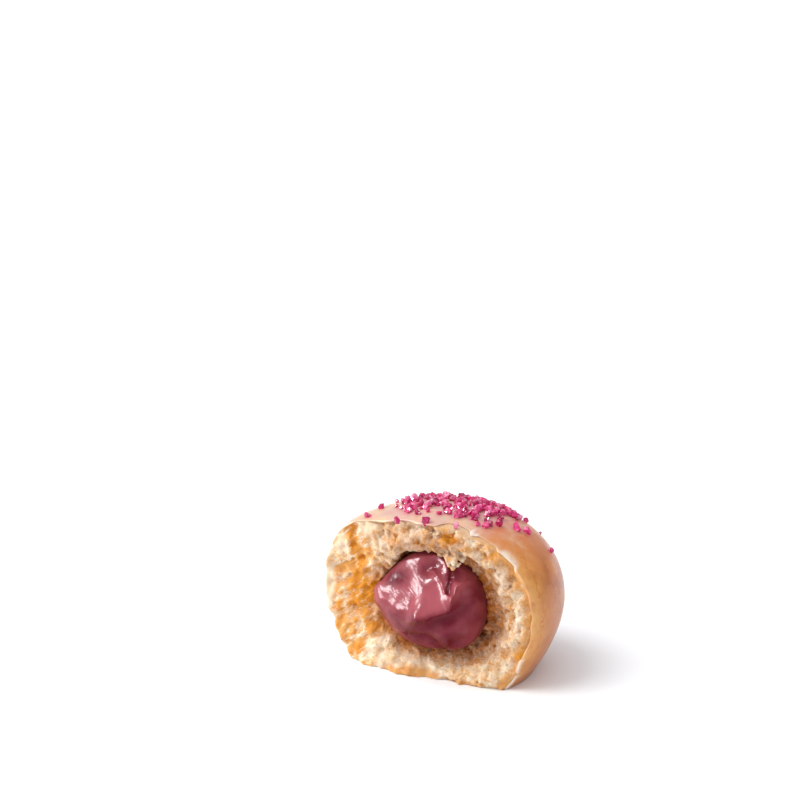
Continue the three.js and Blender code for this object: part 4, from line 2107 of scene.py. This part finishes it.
@dataclass
class Studio:
    """The floor, the soft light and the camera at the photograph's angle."""

    turn_deg: float = 30.0
    rise_deg: float = 20.0
    lens_mm: float = 100.0
    sensor_mm: float = 36.0
    frame_px: float = 800.0
    place_px: tuple[float, float] = (442.0, 664.0)
    px_per_mm: float = 5.0
    seen_between: tuple[float, float] = (0.01, 50.0)
    floor_radius: float = 6.0
    floor_corners: int = 64
    sky: str = "#F6F9FE"
    bright_side: tuple[float, float, float] = (-0.65, -0.4, 0.65)
    dim_strength: float = 0.3
    bright_strength: float = 1.22
    aim_height: float = 15.0
    lamps: tuple[FarLamp | Softbox, ...] = (
        FarLamp("key", turn_deg=-53.0, rise_deg=49.0, power=2.05, distance=2.0, spread_deg=55.0),
        Softbox("window", turn_deg=-48.0, rise_deg=12.0, power=7.4, distance=0.6, side=0.22),
        Softbox("sparkle", turn_deg=-43.0, rise_deg=46.0, power=4.4, distance=0.6, side=0.12),
        Softbox("side", turn_deg=78.0, rise_deg=34.0, power=2.4, distance=0.6, side=0.09),
    )

    def camera(self, foot: Vector) -> Object:
        """Places the camera so that the ball's foot falls where the photograph has it.

        Args:
            foot: The floor under the middle of the ball, in metres.

        Returns:
            The camera.
        """
        focal_px = self.lens_mm / self.sensor_mm * self.frame_px
        distance = focal_px / self.px_per_mm * MM
        turn, rise = math.radians(self.turn_deg), math.radians(self.rise_deg)
        half = self.frame_px / 2.0
        aim_turn = turn + math.atan((self.place_px[0] - half) / focal_px) / math.cos(rise)
        aim_rise = rise - math.atan((self.place_px[1] - half) / focal_px)
        lens = bpy.data.cameras.new("camera")
        lens.lens, lens.sensor_width = self.lens_mm, self.sensor_mm
        lens.clip_start, lens.clip_end = self.seen_between
        made = bpy.data.objects.new("camera", lens)
        made.location = foot + outwards_at(self.turn_deg, self.rise_deg) * distance
        made.rotation_euler = (math.pi / 2.0 - aim_rise, 0.0, aim_turn)
        bpy.context.scene.collection.objects.link(made)
        bpy.context.scene.camera = made
        return made

    def floor(self, finish: Material) -> Object:
        """Lays the white board under the object.

        Args:
            finish: Its material.

        Returns:
            The board.
        """
        turns = np.linspace(0.0, 2.0 * math.pi, self.floor_corners, endpoint=False)
        ring = [(self.floor_radius * math.cos(t), self.floor_radius * math.sin(t), 0.0) for t in turns]
        mesh = bpy.data.meshes.new("floor")
        mesh.from_pydata(ring, [], [list(range(len(ring)))])
        mesh.materials.append(finish)
        made = bpy.data.objects.new("floor", mesh)
        bpy.context.scene.collection.objects.link(made)
        return made

    def light(self, foot: Vector) -> None:
        """Sets the sky, brighter to the left than to the right, and the lamps.

        Args:
            foot: The floor under the middle of the ball, in metres.
        """
        world = bpy.data.worlds.new("studio")
        sky = Tree(world)
        place = sky.add("TexCoord", {}, "Generated")
        side = sky.add("VectorMath", [place, self.bright_side], "Value", operation="DOT_PRODUCT")
        brightness = [side, -1.0, 1.0, self.dim_strength, self.bright_strength]
        strength = sky.add("MapRange", brightness)
        glow = sky.add("Background", {"Color": linear(self.sky), "Strength": strength})
        sky.add("OutputWorld", {"Surface": glow})
        bpy.context.scene.world = world
        target = foot + Vector((0.0, 0.0, self.aim_height * MM))
        for lamp in self.lamps:
            lamp.build(target)


# What the torn face shows where, by places to the right of the ball's middle and above the floor.
FACE_PATCHES = (
    Patch(Zone.AMBER, x=-15.0, z=13.8, half_width=3.6, half_height=5.6, strength=1.7),
    Patch(Zone.AMBER, x=-16.3, z=25.4, half_width=1.5, half_height=4.0, strength=1.3),
    Patch(Zone.AMBER, x=-14.6, z=20.6, half_width=1.6, half_height=1.8),
    Patch(Zone.AMBER, x=-20.5, z=12.0, half_width=2.2, half_height=7.0, strength=0.85),
    Patch(Zone.AMBER, x=-15.3, z=3.0, half_width=2.8, half_height=1.3),
    Patch(Zone.AMBER, x=-11.6, z=7.4, half_width=2.8, half_height=1.7),
    Patch(Zone.AMBER, x=6.5, z=29.2, half_width=4.2, half_height=1.2, strength=0.95),
    Patch(Zone.AMBER, x=15.6, z=26.6, half_width=2.6, half_height=1.6),
    Patch(Zone.AMBER, x=20.9, z=8.0, half_width=2.0, half_height=5.6, strength=0.9),
    # Painted shade under the brow over the cream and on the right wall of the hollow.
    Patch(Zone.PAINTED_SHADE, x=1.0, z=27.0, half_width=12.0, half_height=3.0, strength=0.55),
    Patch(Zone.PAINTED_SHADE, x=16.5, z=22.5, half_width=3.5, half_height=4.0, strength=0.5),
    Patch(Zone.SMOOTH, x=-19.6, z=24.5, half_width=1.9, half_height=4.2),
    Patch(Zone.SMOOTH, x=-23.0, z=14.0, half_width=1.9, half_height=9.5),
    Patch(Zone.SMOOTH, x=-12.5, z=28.6, half_width=3.2, half_height=2.6),
    Patch(Zone.SMOOTH, x=-2.5, z=0.3, half_width=6.8, half_height=2.4, strength=1.3),
    Patch(Zone.CRUST, x=10.0, z=0.2, half_width=7.0, half_height=1.3, strength=0.9),
    Patch(Zone.CRUST, x=-2.5, z=0.3, half_width=6.2, half_height=1.9, strength=1.4),
)

# Broad ridges and grooves of the torn face, by the same places.
FACE_STROKES = (
    Fold(((-16.4, 28.6), (-16.2, 23.6), (-14.2, 20.2)), height=-0.3, half_width=1.0),
    Fold(((-17.5, 18.0), (-16.5, 7.0)), height=-0.7, half_width=3.2),
    Fold(((-2.0, 2.4), (14.0, 2.4)), height=1.3, half_width=1.9),
    Fold(((-13.0, 7.0), (-6.0, 3.4)), height=0.7, half_width=1.8),
    Fold(((21.6, 19.0), (21.4, 8.0)), height=0.6, half_width=1.3),
    Fold(((-9.0, 26.5), (9.0, 26.8)), height=0.5, half_width=2.0),
)

CREAM_TONGUE = Tongue(
    height=1.9,
    top=5.8,
    left_edge=((-3.4, -4.3), (-2.4, -0.3), (-1.7, 2.4), (-1.0, 5.8)),
    right_edge=((3.9, -2.2), (3.9, -0.3), (4.8, 2.2), (6.8, 3.5), (7.2, 5.8)),
    lower_edge=((-3.4, -4.3), (-0.9, -3.95), (1.9, -2.64), (3.5, -2.15), (5.5, -0.8)),
)

# Lines on the cream's front that are used more than once or run through many places.
CREASE = ((-4.7, -6.2), (-1.7, -6.5), (0.3, -7.0), (1.4, -8.3), (2.4, -9.3))
LONG_CREST = ((0.3, 5.7), (1.86, 3.18), (2.39, 1.44), (3.42, -0.12), (3.53, -1.9))
RIGHT_CREST = ((6.9, 3.8), (4.5, 2.3), (3.92, 0.91), (3.53, -0.31))
LEFT_HOLLOW = ((-7.0, 4.6), (-6.3, 4.7))

CREAM_CRESTS = (
    Fold(LONG_CREST, height=0.7, half_width=0.5),
    Fold(RIGHT_CREST, height=1.2, half_width=0.65),
    Fold(((3.61, 3.48), (4.39, 2.41)), height=0.5, half_width=0.4),
    Fold(((-1.7, 2.4), (-2.4, -0.3), (-3.4, -4.2)), height=0.1, half_width=1.2),
    Fold(CREASE, height=-0.9, half_width=0.7),
    Fold(((-7.5, 7.2), (-1.0, 8.8)), height=0.5, half_width=0.8),
    Fold(((-2.2, 8.0), (1.3, 8.9)), height=0.5, half_width=0.5),
)

CREAM_FOLDS = (
    Fold(((-10.8, 2.4), (-10.4, 0.4)), height=1.7, half_width=1.7),
    Fold(LEFT_HOLLOW, height=-0.8, half_width=1.8),
    Fold(((-0.8, 6.0), (0.4, 6.6)), height=-1.1, half_width=1.3),
    Fold(((3.8, 7.6), (3.7, 4.2), (3.3, 1.2)), height=-0.9, half_width=0.6),
    Fold(((4.8, 6.2), (5.2, 4.8)), height=-1.3, half_width=1.1),
    Fold(((4.7, -8.1), (5.3, -8.1)), height=-1.2, half_width=1.3),
    Fold(((-6.8, -2.2), (-4.4, -3.4)), height=1.3, half_width=2.6),
    Fold(((1.3, 8.8), (2.6, 7.3), (3.4, 5.7)), height=1.1, half_width=0.9),
    Fold(((7.1, 6.5), (8.3, 4.7)), height=1.1, half_width=1.2),
    Fold(((3.0, -6.7), (6.2, -5.2)), height=0.9, half_width=2.0),
)

CREAM_SHELVES = (
    Fold(CREASE, height=0.5, half_width=1.4),
    Fold(((4.6, -1.2), (7.0, 0.2), (9.5, 1.0)), height=0.35, half_width=1.4),
)

# Painted shade on the cream, under its tongue and in its hollows: a height is how dark, from 0 to 1.
CREAM_SHADES = (
    Fold(((-3.2, -5.4), (1.0, -4.5), (3.6, -3.4)), height=1.0, half_width=1.9),
    Fold(((-7.5, 0.5), (-6.0, -2.5)), height=0.3, half_width=3.0),
    Fold(CREASE, height=1.0, half_width=0.8),
    Fold(((6.2, -1.8), (8.2, 1.2)), height=0.7, half_width=2.4),
    Fold(((-2.0, -7.8), (3.0, -8.2)), height=0.7, half_width=1.9),
    Fold(((4.5, -7.0), (9.0, -3.5)), height=0.65, half_width=2.2),
    Fold(((-8.5, -2.5), (-4.0, -6.0)), height=0.4, half_width=2.2),
    Fold(LEFT_HOLLOW, height=0.95, half_width=1.7),
    Fold(((-0.8, 6.2), (0.4, 6.8)), height=0.4, half_width=1.2),
    Fold(((3.8, 7.6), (3.7, 4.2), (3.3, 1.4)), height=0.6, half_width=0.6),
    Fold(((4.8, 7.2), (5.4, 5.0)), height=0.6, half_width=1.2),
    Fold(((-5.0, 9.6), (0.0, 10.1)), height=0.2, half_width=0.7),
)

LONE_CRYSTALS = (
    (-4.2, -10.0),
    (1.4, -8.8),
    (-5.4, -4.8),
    (-2.2, -6.0),
    (7.0, -7.2),
    (6.6, 2.0),
    (8.2, 2.8),
    (9.8, 6.0),
    (12.2, 0.0),
    (11.0, -2.8),
    (11.4, -1.6),
    (14.6, 2.8),
    (-12.2, -2.4),
    (-9.0, 0.4),
    (-7.4, 1.6),
    (-5.0, 3.2),
)

RIM_PLACES = (
    RimPlace(around_deg=104.0, half_width_deg=20.0, back=-0.8, thicker=0.3),
    RimPlace(around_deg=67.0, half_width_deg=9.0, back=2.5),
    RimPlace(around_deg=56.0, half_width_deg=2.6, back=0.4, broken=0.9),
    RimPlace(around_deg=47.0, half_width_deg=7.0, back=1.5),
    RimPlace(around_deg=33.0, half_width_deg=6.0, back=0.8, broken=0.7),
    RimPlace(around_deg=10.0, half_width_deg=34.0, thicker=0.25),
    RimPlace(around_deg=350.0, half_width_deg=10.0, back=-0.6),
    RimPlace(around_deg=336.0, half_width_deg=4.0, back=-0.6, broken=1.0),
    RimPlace(around_deg=324.0, half_width_deg=6.0, broken=0.9),
    RimPlace(around_deg=270.0, half_width_deg=46.0, back=2.4),
    RimPlace(around_deg=150.0, half_width_deg=10.0, back=-0.3, broken=0.6),
    RimPlace(around_deg=190.0, half_width_deg=36.0, back=1.3, broken=0.5),
)


def main() -> None:
    """Builds the object's pieces in order, then the studio."""
    logging.basicConfig(level=logging.INFO, format="%(name)s %(message)s")
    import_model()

    ball = BallForm()
    cream_form = CreamForm()
    tear = TearForm(ball, cream_form)
    stand = Stand(ball_x=0.337, ball_y=-6.128)
    dresser = Dresser(stand)

    sugar = Sugar(ball, tear, lone=LONE_CRYSTALS)
    feet = np.array([foot for _, _, foot, _ in sugar.stands()])
    crumb = Crumb(ball, cream_form, tear, FACE_PATCHES, FACE_STROKES)
    glaze = Glaze(ball, tear, RIM_PLACES, feet)
    cream = Cream(cream_form, CREAM_TONGUE, CREAM_CRESTS, CREAM_FOLDS, CREAM_SHELVES, CREAM_SHADES)

    torn_crumb = crumb.build(dresser, CrumbFinish().material())
    shell = glaze.build(dresser, GlazeFinish().material())
    mound = cream.build(dresser, CreamFinish().material())
    crystals = sugar.build(dresser, SugarFinish().material())

    for piece in (torn_crumb, shell, crystals):
        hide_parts("dough")
    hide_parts("cream")

    studio = Studio()
    foot = Vector(stand.to_metres(np.zeros(3)))
    studio.floor(BackdropFinish().material())
    studio.light(foot)
    studio.camera(foot)
    bpy.context.scene.view_settings.view_transform = "Standard"


if __name__ == "__main__":
    main()
